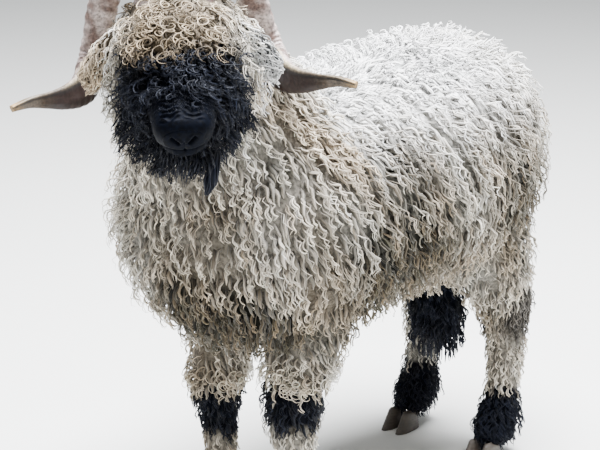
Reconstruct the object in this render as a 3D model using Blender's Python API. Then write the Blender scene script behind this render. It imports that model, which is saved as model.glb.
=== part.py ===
"""A Valais Blacknose ram, standing, life size, in metres: +Z up, facing -Y, its left side at +X.

The body is modelled whole: bent forms of oval section for the flesh and the dense inner wool, with
rounded clumps of fleece fused on out to the tips of the coat. It is then parted with thin cuts into
head, neck, torso, legs, tail and scrotum. Horns, ears, eyes and hooves are solids of their own, and
the flesh is cut back from each of them.
"""

import math
import random

import bmesh
import bpy
import numpy as np
from mathutils import Matrix, Vector
from mathutils.bvhtree import BVHTree

UP = Vector((0, 0, 1))
LEFT = Vector((1, 0, 0))
REAR = Vector((0, 1, 0))
GAP = 0.0004  # between solids that touch
BIG = 1.5  # half size of the blocks that part the body
INNER_WOOL = 0.45  # share of the coat's depth that is dense, without clumps

# The head turns to its left, holds the nose a little below level and tips its right side down.
HEAD_YAW = math.radians(45)
HEAD_PITCH = math.radians(28)
HEAD_ROLL = math.radians(4)
MUZZLE = Vector((0.209, -0.616, 0.811))
LEVEL = Vector((math.sin(HEAD_YAW), -math.cos(HEAD_YAW), 0))
FACE = LEVEL * math.cos(HEAD_PITCH) - UP * math.sin(HEAD_PITCH)
HEAD_LEFT = Matrix.Rotation(HEAD_ROLL, 3, FACE) @ Vector((math.cos(HEAD_YAW), math.sin(HEAD_YAW), 0))
CROWN = FACE.cross(HEAD_LEFT)

# How far the coat stands out from the body, and how far apart its clumps are, by region.
TORSO_COAT, TORSO_CLUMPS = 0.050, 0.113
NECK_COAT, NECK_CLUMPS = 0.045, 0.103
LEG_COAT, LEG_CLUMPS = 0.034, 0.098
CHEEK_CLUMPS = 0.060
SCROTUM_COAT, SCROTUM_CLUMPS = 0.014, 0.075
TAIL_COAT, TAIL_CLUMPS = 0.020, 0.105

EYE_RADIUS = 0.0135
HORN_TWIST = math.radians(150)

# Where each foot stands: x, y of the pastern.
FEET = {
    "foreleg_left": (0.118, -0.283),
    "foreleg_right": (-0.075, -0.262),
    "hindleg_left": (0.112, 0.313),
    "hindleg_right": (-0.109, 0.345),
}


def head_point(back, left, up):
    """A place on the head: back from the muzzle, to the left and up, in the head's own directions."""
    return MUZZLE - FACE * back + HEAD_LEFT * left + CROWN * up


class Form:
    """A bent form of oval section: stations are (x, y, z, half width, half depth), widths along `side`.

    `coat` is how far the fleece stands out from it, the same all along or station by station.
    """

    def __init__(self, stations, side=LEFT, squareness=2.0, coat=0.0):
        rows = np.array(stations, float)
        self.rows = np.column_stack([rows, np.broadcast_to(coat, len(rows))])
        self.side = Vector(side)
        self.power = 2.0 / squareness
        self.last = len(rows) - 1

    def row(self, u):
        """The station at u, on a smooth curve through them all."""
        u = min(max(u, 0.0), float(self.last))
        i = min(int(u), self.last - 1)
        t = u - i
        a, b, c, d = (self.rows[min(max(k, 0), self.last)] for k in (i - 1, i, i + 1, i + 2))
        return 0.5 * (
            2 * b
            + (c - a) * t
            + (2 * a - 5 * b + 4 * c - d) * t * t
            + (3 * b - a - 3 * c + d) * t**3
        )

    def skin(self, u, angle):
        """The body's own surface, without the coat."""
        row = self.row(u)
        along = Vector(self.row(u + 0.05)[:3] - self.row(u - 0.05)[:3]).normalized()
        side = (self.side - along * self.side.dot(along)).normalized()
        rise = side.cross(along)
        c, s = math.cos(angle), math.sin(angle)
        x = math.copysign(abs(c) ** self.power, c)
        y = math.copysign(abs(s) ** self.power, s)
        return Vector(row[:3]) + side * (row[3] * x) + rise * (row[4] * y)

    def normal(self, u, angle):
        u = min(max(u, 0.02), self.last - 0.02)
        du = self.skin(u + 0.02, angle) - self.skin(u - 0.02, angle)
        da = self.skin(u, angle + 0.02) - self.skin(u, angle - 0.02)
        n = du.cross(da).normalized()
        outward = self.skin(u, angle) - Vector(self.row(u)[:3])
        return n if n.dot(outward) > 0 else -n

    def coat(self, u):
        return max(self.row(u)[5], 0.0)

    def point(self, u, angle, share=1.0, beyond=0.0):
        """A place at a share of the coat's depth, and a fixed distance further out."""
        return self.skin(u, angle) + self.normal(u, angle) * (self.coat(u) * share + beyond)

    def mesh(self, name, rings, sides, share=1.0, beyond=0.0, first=0.0):
        """The form as a closed mesh, with a pole at each end."""
        bm = bmesh.new()
        loops = []
        for i in range(rings):
            u = first + (self.last - first) * i / (rings - 1)
            ring = [self.point(u, math.tau * k / sides, share, beyond) for k in range(sides)]
            loops.append([bm.verts.new(co) for co in ring])
        bridge(bm, loops)
        for ring, inner in ((loops[0], loops[1]), (loops[-1], loops[-2])):
            centre = sum((v.co for v in ring), Vector()) / sides
            towards = sum((v.co for v in inner), Vector()) / sides
            fan(bm, ring, centre + (centre - towards) * 0.3)
        return finished(bm, name)

    def clump_places(self, spacing, first, last):
        """Evenly staggered places on the form between two stations, as (u, angle)."""
        steps = 40
        row_count = 0
        travelled = spacing
        before = None
        for i in range(steps + 1):
            u = first + (last - first) * i / steps
            ring = [self.point(u, math.tau * k / 12, INNER_WOOL) for k in range(12)]
            if before:
                travelled += sum((a - b).length for a, b in zip(ring, before)) / 12
            before = ring
            if travelled < spacing:
                continue
            travelled -= spacing
            row_count += 1
            girth = sum((a - b).length for a, b in zip(ring, ring[1:] + ring[:1]))
            count = max(round(girth / spacing), 3)
            for k in range(count):
                yield u, math.tau * (k + 0.5 * (row_count % 2)) / count


def bridge(bm, loops):
    """Joins each loop of vertices to the next."""
    sides = len(loops[0])
    for a, b in zip(loops, loops[1:]):
        for k in range(sides):
            bm.faces.new((a[k], b[k], b[(k + 1) % sides], a[(k + 1) % sides]))


def fan(bm, ring, peak):
    """Closes a loop of vertices with a fan to a peak."""
    pole = bm.verts.new(peak)
    for a, b in zip(ring, ring[1:] + ring[:1]):
        bm.faces.new((a, b, pole))


def finished(bm, name):
    """The bmesh as a new object of triangles that point out, so that a grown copy bends just as it does."""
    bmesh.ops.triangulate(bm, faces=bm.faces)
    bmesh.ops.recalc_face_normals(bm, faces=bm.faces)
    if bm.calc_volume(signed=True) < 0:
        bmesh.ops.reverse_faces(bm, faces=bm.faces)
    mesh = bpy.data.meshes.new(name)
    bm.to_mesh(mesh)
    bm.free()
    return bpy.data.objects.new(name, mesh)


def ball(name, place, axes, halves, across=8, rings=6):
    """An ellipsoid with its centre, its three unit axes and its half sizes."""
    bm = bmesh.new()
    bmesh.ops.create_uvsphere(bm, u_segments=across, v_segments=rings, radius=1)
    return stretched(bm, name, place, axes, halves)


def slab(name, place, axes, halves):
    """A box with its centre, its three unit axes and its half sizes."""
    bm = bmesh.new()
    bmesh.ops.create_cube(bm, size=2)
    return stretched(bm, name, place, axes, halves)


def stretched(bm, name, place, axes, halves):
    turn = Matrix([axis * half for axis, half in zip(axes, halves)]).transposed()
    for v in bm.verts:
        v.co = Vector(place) + turn @ v.co
    return finished(bm, name)


# Flesh, from front to rear or from the top down.

TORSO = Form(
    [
        (0, -0.425, 0.575, 0.030, 0.030),
        (0, -0.408, 0.578, 0.095, 0.085),
        (0, -0.360, 0.582, 0.160, 0.145),
        (0, -0.280, 0.585, 0.202, 0.180),
        (0, -0.160, 0.588, 0.205, 0.180),
        (0, -0.020, 0.596, 0.200, 0.174),
        (0, 0.120, 0.604, 0.202, 0.183),
        (0, 0.240, 0.610, 0.190, 0.188),
        (0, 0.328, 0.612, 0.162, 0.174),
        (0, 0.382, 0.608, 0.118, 0.134),
        (0, 0.410, 0.604, 0.076, 0.082),
        (0, 0.420, 0.600, 0.030, 0.030),
    ],
    squareness=2.3,
    coat=TORSO_COAT,
)
NECK = Form(
    [
        (0.000, -0.150, 0.620, 0.130, 0.130),
        (0.004, -0.240, 0.660, 0.140, 0.150),
        (0.012, -0.320, 0.730, 0.120, 0.145),
        (0.028, -0.390, 0.810, 0.086, 0.118),
        (0.046, -0.432, 0.868, 0.070, 0.090),
        (0.056, -0.455, 0.900, 0.045, 0.050),
    ],
    coat=NECK_COAT,
)


def along_head(back, up, width, depth):
    return (*head_point(back, 0, up), width, depth)


SKULL = Form(
    [
        along_head(0.282, 0.022, 0.030, 0.030),
        along_head(0.268, 0.020, 0.054, 0.052),
        along_head(0.240, 0.014, 0.066, 0.068),
        along_head(0.200, 0.006, 0.070, 0.074),
        along_head(0.160, 0.000, 0.066, 0.068),
        along_head(0.120, -0.002, 0.056, 0.057),
        along_head(0.080, 0.000, 0.048, 0.046),
        along_head(0.040, 0.002, 0.045, 0.037),
        along_head(0.014, 0.001, 0.041, 0.031),
        along_head(0.002, -0.001, 0.030, 0.021),
    ],
    side=HEAD_LEFT,
    squareness=2.3,
    coat=(0.030, 0.034, 0.036, 0.036, 0.034, 0.030, 0.014, 0.0, 0.0, 0.0),
)
JAW = Form(
    [
        along_head(0.150, -0.050, 0.036, 0.030),
        along_head(0.100, -0.043, 0.034, 0.024),
        along_head(0.060, -0.037, 0.033, 0.019),
        along_head(0.028, -0.033, 0.030, 0.015),
        along_head(0.013, -0.031, 0.018, 0.009),
    ],
    side=HEAD_LEFT,
    squareness=2.3,
)


def foreleg(x, y):
    """From inside the shoulder down to the pastern."""
    return Form(
        [
            (x, y + 0.060, 0.500, 0.055, 0.070),
            (x, y + 0.045, 0.420, 0.048, 0.058),
            (x, y + 0.022, 0.345, 0.037, 0.043),
            (x, y + 0.010, 0.290, 0.034, 0.037),
            (x, y + 0.006, 0.258, 0.032, 0.034),
            (x, y + 0.012, 0.210, 0.024, 0.027),
            (x, y + 0.016, 0.140, 0.021, 0.024),
            (x, y + 0.012, 0.090, 0.026, 0.028),
            (x, y - 0.004, 0.055, 0.025, 0.027),
            (x, y - 0.012, 0.032, 0.020, 0.022),
        ],
        coat=(LEG_COAT, LEG_COAT, 0.030, 0.024, 0.018, 0.012, 0.012, 0.012, 0.008, 0.003),
    )


def hindleg(x, y):
    """From inside the thigh, past the hock, down to the pastern."""
    return Form(
        [
            (x * 0.92, y - 0.050, 0.540, 0.062, 0.105),
            (x * 0.95, y - 0.020, 0.440, 0.052, 0.085),
            (x, y + 0.014, 0.360, 0.040, 0.058),
            (x, y + 0.046, 0.295, 0.030, 0.042),
            (x, y + 0.050, 0.240, 0.024, 0.030),
            (x, y + 0.046, 0.160, 0.022, 0.026),
            (x, y + 0.036, 0.095, 0.027, 0.030),
            (x, y + 0.012, 0.055, 0.026, 0.028),
            (x, y + 0.002, 0.032, 0.021, 0.023),
        ],
        coat=(LEG_COAT, LEG_COAT, 0.028, 0.024, 0.022, 0.018, 0.016, 0.012, 0.004),
    )


LEGS = {
    name: (foreleg if name.startswith("fore") else hindleg)(*foot)
    for name, foot in FEET.items()
}
TAIL = Form(
    [
        (0, 0.350, 0.725, 0.016, 0.012),
        (0, 0.410, 0.712, 0.024, 0.018),
        (0, 0.450, 0.655, 0.026, 0.018),
        (0, 0.462, 0.560, 0.024, 0.016),
        (0, 0.458, 0.470, 0.018, 0.012),
        (0, 0.450, 0.405, 0.008, 0.006),
    ],
    coat=TAIL_COAT,
)
SCROTUM = Form(
    [
        (0.004, 0.262, 0.460, 0.030, 0.032),
        (0.004, 0.272, 0.385, 0.030, 0.030),
        (0.004, 0.280, 0.320, 0.038, 0.036),
        (0.004, 0.286, 0.265, 0.040, 0.038),
        (0.004, 0.288, 0.232, 0.020, 0.020),
    ],
    coat=SCROTUM_COAT,
)


# Fleece.


def lie_of(normal, pull):
    """Down the surface that has this normal, the way the pull draws the wool."""
    return (pull - normal * pull.dot(normal)).normalized()


# Rings of a clump: place along the lie, height of the middle and size, as shares.
CLUMP_RINGS = ((0.22, 0.50, 0.88), (0.76, 0.54, 0.96))


def clump(place, normal, lie, length, width, depth, sides=5):
    """One rounded clump of wool that rises from the skin at `place` to `depth` above it."""
    across = lie.cross(normal)
    bm = bmesh.new()
    rings = []
    for along, height, size in CLUMP_RINGS:
        middle = place + lie * (length * (along - 0.5)) + normal * (depth * height)
        ring = []
        for k in range(sides):
            angle = math.tau * k / sides
            ring.append(
                bm.verts.new(
                    middle
                    + across * (width * size * math.cos(angle))
                    + normal * (depth * (1 - 0.55) * size * math.sin(angle))
                )
            )
        rings.append(ring)
    bridge(bm, rings)
    fan(bm, rings[0], place - lie * (length * 0.5) + normal * (depth * 0.30))
    fan(bm, rings[-1], place + lie * (length * 0.5) + normal * (depth * 0.40))
    return finished(bm, "clump")


def fleece(form, spacing, first, last, pull, draws, keep):
    """Clumps set close over a form between two stations, each drawn a little unlike the last."""
    made = []
    mine = []
    for u, angle in form.clump_places(spacing, first, last):
        u += draws.uniform(-0.10, 0.10)
        angle += draws.uniform(-0.12, 0.12)
        size = draws.uniform(0.88, 1.14)
        turn = draws.uniform(-0.30, 0.30)
        place, normal = form.skin(u, angle), form.normal(u, angle)
        depth = form.coat(u) * draws.uniform(0.90, 1.0)
        middle = place + normal * (depth * INNER_WOOL)
        if not keep(middle, spacing):
            continue
        mine.append((middle, spacing))
        lie = lie_of(normal, pull)
        lie.rotate(Matrix.Rotation(turn, 3, normal))
        made.append(clump(place, normal, lie, spacing * 1.20 * size, spacing * 0.53 * size, depth))
    return made, mine


def surface_of(obj):
    bm = bmesh.new()
    bm.from_mesh(obj.data)
    tree = BVHTree.FromBMesh(bm)
    bm.free()
    return tree


def whole_coat(inner):
    """Every clump on the body, given the inner wool that they stand on."""
    draws = random.Random(7)
    surface = surface_of(inner)
    eyes = [eye_place(side) for side in (1, -1)]
    taken = []

    def keep(place, spacing):
        """Whether a clump has room here: not buried, not over an eye, not on top of another."""
        near, normal, _, distance = surface.find_nearest(place)
        if (place - near).dot(normal) < 0 and distance > 0.008:
            return False
        if min((place - eye).length for eye in eyes) < 0.044:
            return False
        return all((place - other).length > 0.29 * (spacing + reach) for other, reach in taken)

    back_and_down = REAR * 0.30 - UP
    coats = [
        (SKULL, CHEEK_CLUMPS, 0.4, 5.8, -CROWN + FACE * 0.25),
        (TAIL, TAIL_CLUMPS, 0.8, 4.6, -UP),
        (SCROTUM, SCROTUM_CLUMPS, 1.4, 3.6, -UP),
    ]
    for name, leg in LEGS.items():
        coats.append((leg, LEG_CLUMPS, 1.6, 4.0 if name.startswith("fore") else 6.0, -UP))
    coats.append((NECK, NECK_CLUMPS, 0.8, 4.6, back_and_down * 0.9 - FACE * 0.1))
    coats.append((TORSO, TORSO_CLUMPS, 0.5, TORSO.last - 0.5, back_and_down))
    made = []
    for form, spacing, first, last, pull in coats:
        clumps, places = fleece(form, spacing, first, last, pull, draws, keep)
        made += clumps
        taken += places
    return made


# Joining and parting.


def grown_copy(obj, by):
    """A copy with each vertex moved out along its normal, so that it clears the original on all sides."""
    copy = obj.copy()
    copy.data = obj.data.copy()
    bm = bmesh.new()
    bm.from_mesh(copy.data)
    bm.normal_update()
    for v in bm.verts:
        v.co += v.normal * by
    bm.to_mesh(copy.data)
    bm.free()
    return copy


def boolean(obj, others, operation):
    """Applies one Boolean with a collection of closed meshes, which are then removed."""
    scene = bpy.context.scene.collection
    collection = bpy.data.collections.new("cutters")
    scene.children.link(collection)
    for other in others:
        collection.objects.link(other)
    scene.objects.link(obj)
    modifier = obj.modifiers.new("Boolean", "BOOLEAN")
    modifier.operation = operation
    modifier.operand_type = "COLLECTION"
    modifier.collection = collection
    modifier.solver = "MANIFOLD"
    graph = bpy.context.evaluated_depsgraph_get()
    result = bpy.data.meshes.new_from_object(obj.evaluated_get(graph))
    obj.modifiers.clear()
    before, obj.data = obj.data, result
    bpy.data.meshes.remove(before)
    scene.objects.unlink(obj)
    for other in list(collection.objects):
        bpy.data.objects.remove(other)
    bpy.data.collections.remove(collection)
    return obj


def simplify(obj, degrees):
    """Removes corners that cutting has left in areas as flat as this."""
    bm = bmesh.new()
    bm.from_mesh(obj.data)
    bmesh.ops.dissolve_limit(
        bm,
        angle_limit=math.radians(degrees),
        use_dissolve_boundaries=False,
        verts=bm.verts,
        edges=bm.edges,
    )
    bmesh.ops.triangulate(bm, faces=bm.faces)
    bm.to_mesh(obj.data)
    bm.free()


def keep_largest(obj):
    """Drops every closed surface but the largest."""
    bm = bmesh.new()
    bm.from_mesh(obj.data)
    left = set(bm.verts)
    shells = []
    while left:
        front = [left.pop()]
        shell = set(front)
        while front:
            for edge in front.pop().link_edges:
                for v in edge.verts:
                    if v in left:
                        left.remove(v)
                        shell.add(v)
                        front.append(v)
        area = sum(f.calc_area() for f in {f for v in shell for f in v.link_faces})
        shells.append((area, shell))
    largest = max(shells, key=lambda pair: pair[0])[1]
    bmesh.ops.delete(bm, geom=[v for v in bm.verts if v not in largest], context="VERTS")
    bm.to_mesh(obj.data)
    bm.free()
    simplify(obj, 0.05)


def beyond(point, normal, gap):
    """A large block on the side of a plane that its normal points to, set back from the plane by a gap."""
    along = Vector(normal).normalized()
    side = along.cross(Vector((0.31, 0.17, 0.94))).normalized()
    return slab("block", point + along * (gap + BIG), (side, along.cross(side), along), (BIG, BIG, BIG))


NECK_ROOT = (Vector((0.005, -0.260, 0.735)), Vector((0.10, -0.62, 0.76)))


def head_cell(grow):
    """The space of the head: before a cut from behind the poll to the throat, above the upper neck."""
    cell = beyond(head_point(0.215, 0, -0.040), FACE * 0.19 + CROWN * 0.12, -grow)
    return boolean(cell, [beyond(head_point(0.1, 0, -0.130), CROWN, -grow)], "INTERSECT")


LIMB_BOXES = {
    # lowest and highest corner of the space that each limb is parted into
    "foreleg_left": ((0.014, -0.420, -0.05), (0.280, -0.060, 0.395)),
    "foreleg_right": ((-0.260, -0.420, -0.05), (0.002, -0.060, 0.395)),
    "hindleg_left": ((0.062, 0.180, -0.05), (0.280, 0.600, 0.430)),
    "hindleg_right": ((-0.280, 0.180, -0.05), (-0.054, 0.600, 0.430)),
    "scrotum": ((-0.054, 0.190, 0.050), (0.062, 0.350, 0.395)),
    "tail": ((-0.060, 0.436, 0.300), (0.060, 0.700, 0.660)),
}


def limb_cell(name, grow):
    low, high = (Vector(corner) for corner in LIMB_BOXES[name])
    return slab("cell", (low + high) / 2, (LEFT, REAR, UP), (high - low) / 2 + Vector((grow,) * 3))


def part_of(whole, name, keep, remove):
    """A copy of the whole, kept inside some cells and cut clear of others."""
    node = whole.copy()
    node.data = whole.data.copy()
    node.name = name
    for cell in keep:
        boolean(node, [cell], "INTERSECT")
    if remove:
        boolean(node, remove, "DIFFERENCE")
    keep_largest(node)
    return node


# Head and feet.

BROW = head_point(0.235, 0, 0.072)
HORN_PATH = [
    # back, left and up from the middle of the brow, with half width and half thickness
    (0.004, 0.034, -0.035, 0.025, 0.023),
    (0.008, 0.043, 0.010, 0.026, 0.023),
    (0.040, 0.068, 0.044, 0.026, 0.022),
    (0.095, 0.094, 0.032, 0.025, 0.021),
    (0.140, 0.114, -0.022, 0.024, 0.020),
    (0.163, 0.135, -0.088, 0.023, 0.019),
    (0.142, 0.149, -0.130, 0.026, 0.021),
    (0.098, 0.161, -0.146, 0.025, 0.020),
    (0.050, 0.182, -0.146, 0.019, 0.016),
    (0.020, 0.206, -0.142, 0.013, 0.011),
    (-0.010, 0.230, -0.137, 0.009, 0.008),
    (-0.030, 0.256, -0.141, 0.005, 0.005),
]


def horn(side, rings=24, sides=8):
    """An open spiral horn, side 1 for left and -1 for right: a rounded triangle that twists as it goes."""
    rise = LEVEL.cross(HEAD_LEFT)
    stations = []
    for back, left, up, width, thick in HORN_PATH:
        place = BROW - LEVEL * back + HEAD_LEFT * (left * side) + rise * up
        stations.append((*place, width, thick))
    path = Form(stations)
    bm = bmesh.new()
    loops = []
    broad = LEVEL.copy()
    for i in range(rings):
        u = path.last * i / (rings - 1)
        row = path.row(u)
        along = Vector(path.row(u + 0.05)[:3] - path.row(u - 0.05)[:3]).normalized()
        broad = (broad - along * broad.dot(along)).normalized()
        across = along.cross(broad)
        twist = side * HORN_TWIST * i / (rings - 1)
        loop = []
        for k in range(sides):
            angle = math.tau * k / sides
            bulge = 1 + 0.10 * math.cos(3 * angle)
            flat = Vector((row[3] * bulge * math.cos(angle), row[4] * bulge * math.sin(angle)))
            flat.rotate(Matrix.Rotation(twist, 2))
            loop.append(bm.verts.new(Vector(row[:3]) + broad * flat.x + across * flat.y))
        loops.append(loop)
    bridge(bm, loops)
    bm.faces.new(loops[0])
    bm.faces.new(loops[-1])
    return finished(bm, "horn")


def eye_place(side):
    return head_point(0.152, side * 0.0555, 0.026)


def eye(side):
    axes = (FACE, HEAD_LEFT, CROWN)
    return ball("eye", eye_place(side), axes, (EYE_RADIUS,) * 3, 10, 7)


def socket(side):
    """The hollow in the wool that leaves the eye open."""
    axes = (FACE, HEAD_LEFT, CROWN)
    return ball("socket", eye_place(side) + HEAD_LEFT * (side * 0.030), axes, (0.030, 0.026, 0.024), 9, 6)


def lids(side):
    """Upper and lower lid as one almond ring round the eye."""
    bm = bmesh.new()
    out = (HEAD_LEFT * side + FACE * 0.18 + CROWN * 0.10).normalized()
    front = (FACE - out * FACE.dot(out)).normalized()
    rise = out.cross(front) * side
    middle = eye_place(side) + out * 0.0085
    loops = []
    for i in range(14):
        turn = math.tau * i / 14
        spoke = front * (0.0150 * math.cos(turn)) + rise * (0.0095 * math.sin(turn))
        outward = spoke.normalized()
        loops.append(
            [
                bm.verts.new(
                    middle
                    + spoke
                    + outward * (0.0042 * math.cos(a))
                    + out * (0.0040 * math.sin(a) - 0.003 * abs(math.cos(turn)))
                )
                for a in (math.tau * k / 5 for k in range(5))
            ]
        )
    bridge(bm, loops + [loops[0]])
    return finished(bm, "lids")


def nose_cuts():
    """Two slanted nostrils and the groove between them."""
    made = []
    for side in (1, -1):
        slant = (HEAD_LEFT * side * 0.62 + CROWN * 0.78).normalized()
        axes = (slant, FACE, slant.cross(FACE))
        place = head_point(0.006, side * 0.016, 0.006)
        made.append(ball("nostril", place, axes, (0.0115, 0.014, 0.0042), 7, 5))
    axes = (HEAD_LEFT, FACE, CROWN)
    made.append(ball("groove", head_point(0.001, 0, -0.013), axes, (0.0018, 0.006, 0.012), 6, 4))
    return made


def mouth_cut():
    """The line of the mouth, from one corner round the front to the other."""
    bm = bmesh.new()
    loops = []
    for i in range(17):
        turn = math.radians(-100 + 200 * i / 16)
        reach = 0.060 * (1 - math.cos(turn)) / (1 - math.cos(math.radians(100)))
        middle = head_point(0.007 + reach, 0.0415 * math.sin(turn), -0.0215 - 0.10 * reach)
        outward = (FACE * math.cos(turn) + HEAD_LEFT * math.sin(turn)).normalized()
        thin = 0.0014
        loops.append(
            [
                bm.verts.new(middle + outward * across + CROWN * rise)
                for across, rise in ((0.012, thin), (0.012, -thin), (-0.003, 0.0))
            ]
        )
    bridge(bm, loops)
    bm.faces.new(loops[0])
    bm.faces.new(loops[-1])
    return finished(bm, "mouth")


def beard():
    """The pointed black lock under the chin."""
    root = head_point(0.036, 0.016, -0.040)
    drop = (-UP * 0.95 + FACE * 0.10 + HEAD_LEFT * 0.12).normalized()
    across = HEAD_LEFT
    front = drop.cross(across)
    bm = bmesh.new()
    loops = []
    for along, size in ((0.0, 0.8), (0.3, 1.0), (0.6, 0.85), (0.85, 0.45)):
        loops.append(
            [
                bm.verts.new(
                    root
                    + drop * (0.062 * along)
                    + across * (0.0095 * size * math.cos(a))
                    + front * (0.0075 * size * math.sin(a))
                )
                for a in (math.tau * k / 6 for k in range(6))
            ]
        )
    bridge(bm, loops)
    bm.faces.new(loops[0])
    fan(bm, loops[-1], root + drop * 0.062)
    return finished(bm, "beard")


def ear(side):
    """A cupped leaf that droops outwards, its root sunk into the side of the head."""
    root = head_point(0.212, side * 0.070, 0.034)
    out = (HEAD_LEFT * side * 0.66 - UP * 0.70 - FACE * 0.12).normalized()
    front = (FACE - out * FACE.dot(out)).normalized()
    rise = front.cross(out) * side
    length, half, thick, cup = 0.105, 0.029, 0.0045, 0.010
    rows, columns = 7, 6
    bm = bmesh.new()
    loops = []
    for i in range(rows):
        t = i / (rows - 1)
        wide = half * max(math.sin(math.pi * (t * 0.86 + 0.14)) ** 0.75, 0.12)
        edge = []
        for facing, order in ((0.5, range(columns)), (-0.5, reversed(range(columns)))):
            for k in order:
                v = 2 * k / (columns - 1) - 1
                dip = cup * (1 - v * v) * (1 - 0.5 * t)
                edge.append(root + out * (length * t) + rise * (wide * v) + front * (thick * facing - dip))
        loops.append([bm.verts.new(co) for co in edge])
    bridge(bm, loops)
    for ring in (loops[0], loops[-1]):
        for k in range(columns - 1):
            bm.faces.new((ring[k], ring[k + 1], ring[-k - 2], ring[-k - 1]))
    return finished(bm, "ear")


def claw(x, y, side, length=0.066, width=0.028, height=0.042):
    """One half of a cloven hoof, its sole flat on the floor, its toe towards -Y."""
    bm = bmesh.new()
    outline = [
        (-0.50, 0.0),
        (-0.36, 0.36),
        (0.0, 0.5),
        (0.38, 0.46),
        (0.5, 0.2),
        (0.5, -0.3),
        (0.1, -0.42),
        (-0.36, -0.34),
    ]
    loops = []
    for rise, scale, shift in ((0.0, 1.0, 0.0), (0.6, 0.90, 0.006), (1.0, 0.74, 0.013)):
        ring = []
        for a, b in outline:
            slope = 0.010 * (a + 0.5) if rise else 0.0
            out, along = side * b * width * scale, a * length * scale + shift
            ring.append(bm.verts.new((x + out, y + along, height * rise - slope)))
        loops.append(ring)
    bridge(bm, loops)
    bm.faces.new(loops[0])
    bm.faces.new(loops[-1])
    return finished(bm, "claw")


def dewclaws(x, y):
    """The two small claws behind the pastern."""
    axes = (LEFT, REAR, UP)
    places = [(x + side * 0.015, y + 0.026, 0.066) for side in (1, -1)]
    return [ball("dewclaw", place, axes, (0.008, 0.009, 0.011), 6, 4) for place in places]


# Assembly.


def whole_body():
    """Flesh and fleece as one closed surface, with the face cut and the eyes' lids on."""
    body = TORSO.mesh("body", 15, 14, INNER_WOOL)
    parts = [
        NECK.mesh("neck", 7, 10, INNER_WOOL),
        SKULL.mesh("skull", 17, 14, INNER_WOOL),
        TAIL.mesh("tail", 7, 7, INNER_WOOL),
        SCROTUM.mesh("scrotum", 7, 8, INNER_WOOL),
    ]
    parts += [leg.mesh(name, 12, 8, INNER_WOOL) for name, leg in LEGS.items()]
    boolean(body, parts, "UNION")
    boolean(body, whole_coat(body), "UNION")
    simplify(body, 4)
    boolean(body, [socket(1), socket(-1)] + nose_cuts(), "DIFFERENCE")
    parts = [lids(1), lids(-1), JAW.mesh("jaw", 8, 10), beard()]
    for foot in FEET.values():
        parts += dewclaws(*foot)
    boolean(body, parts, "UNION")
    return boolean(body, [mouth_cut()], "DIFFERENCE")


def material(name, colour, roughness):
    made = bpy.data.materials.new(name)
    made.use_nodes = True
    shader = made.node_tree.nodes["Principled BSDF"]
    shader.inputs["Base Color"].default_value = (*colour, 1)
    shader.inputs["Roughness"].default_value = roughness
    shader.inputs["Metallic"].default_value = 0.0
    return made


def main():
    for obj in list(bpy.data.objects):
        bpy.data.objects.remove(obj)
    model = bpy.data.collections.new("valais_blacknose_ram")
    bpy.context.scene.collection.children.link(model)

    cream = material("cream fleece", (0.62, 0.55, 0.45), 0.95)
    black = material("black wool", (0.012, 0.011, 0.013), 0.9)
    dress = {
        "horn": material("horn", (0.20, 0.13, 0.09), 0.45),
        "eye": material("eye", (0.10, 0.055, 0.02), 0.08),
        "forehoof": material("hoof horn", (0.05, 0.042, 0.036), 0.5),
        "head": black,
        "scrotum": black,
        "ear": black,
    }
    dress["hindhoof"] = dress["forehoof"]

    nodes = {}
    for word, side in (("left", 1), ("right", -1)):
        nodes["horn_" + word] = horn(side)
        nodes["eye_" + word] = eye(side)
        nodes["ear_" + word] = boolean(ear(side), [grown_copy(nodes["horn_" + word], GAP)], "DIFFERENCE")
        keep_largest(nodes["ear_" + word])
    for name, (x, y) in FEET.items():
        for word, side in (("outer", 1), ("inner", -1)):
            way = side * math.copysign(1, x)
            nodes[f"{name.replace('leg', 'hoof')}_{word}"] = claw(x + way * 0.0165, y - 0.028, way)
    whole = whole_body()
    boolean(whole, [grown_copy(obj, GAP) for obj in nodes.values()], "DIFFERENCE")

    half = GAP / 2
    neck_and_head = beyond(*NECK_ROOT, -half)
    limbs = [limb_cell(name, half) for name in LIMB_BOXES]
    nodes["torso"] = part_of(whole, "torso", [], [neck_and_head] + limbs)
    nodes["neck"] = part_of(whole, "neck", [beyond(*NECK_ROOT, half)], [head_cell(half)])
    nodes["head"] = part_of(whole, "head", [head_cell(-half)], [])
    for name in LIMB_BOXES:
        nodes[name] = part_of(whole, name, [limb_cell(name, -half)], [])
    bpy.data.objects.remove(whole)

    corners = np.array([v.co for obj in nodes.values() for v in obj.data.vertices])
    low, high = corners.min(axis=0), corners.max(axis=0)
    shift = -Vector(((low[0] + high[0]) / 2, (low[1] + high[1]) / 2, low[2]))
    for name, obj in nodes.items():
        obj.name = name
        model.objects.link(obj)
        obj.data.transform(Matrix.Translation(shift))
        obj.data.materials.clear()
        obj.data.materials.append(dress.get(name.split("_")[0], cream))
    return shift


SHIFT = main()
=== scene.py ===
"""The looks of the Valais Blacknose ram: its skin and coat of wavy locks, horns, eyes and hooves."""

import math

import bmesh
import bpy
import numpy as np
from mathutils import Euler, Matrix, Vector
from mathutils.bvhtree import BVHTree
from mathutils.kdtree import KDTree


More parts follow.
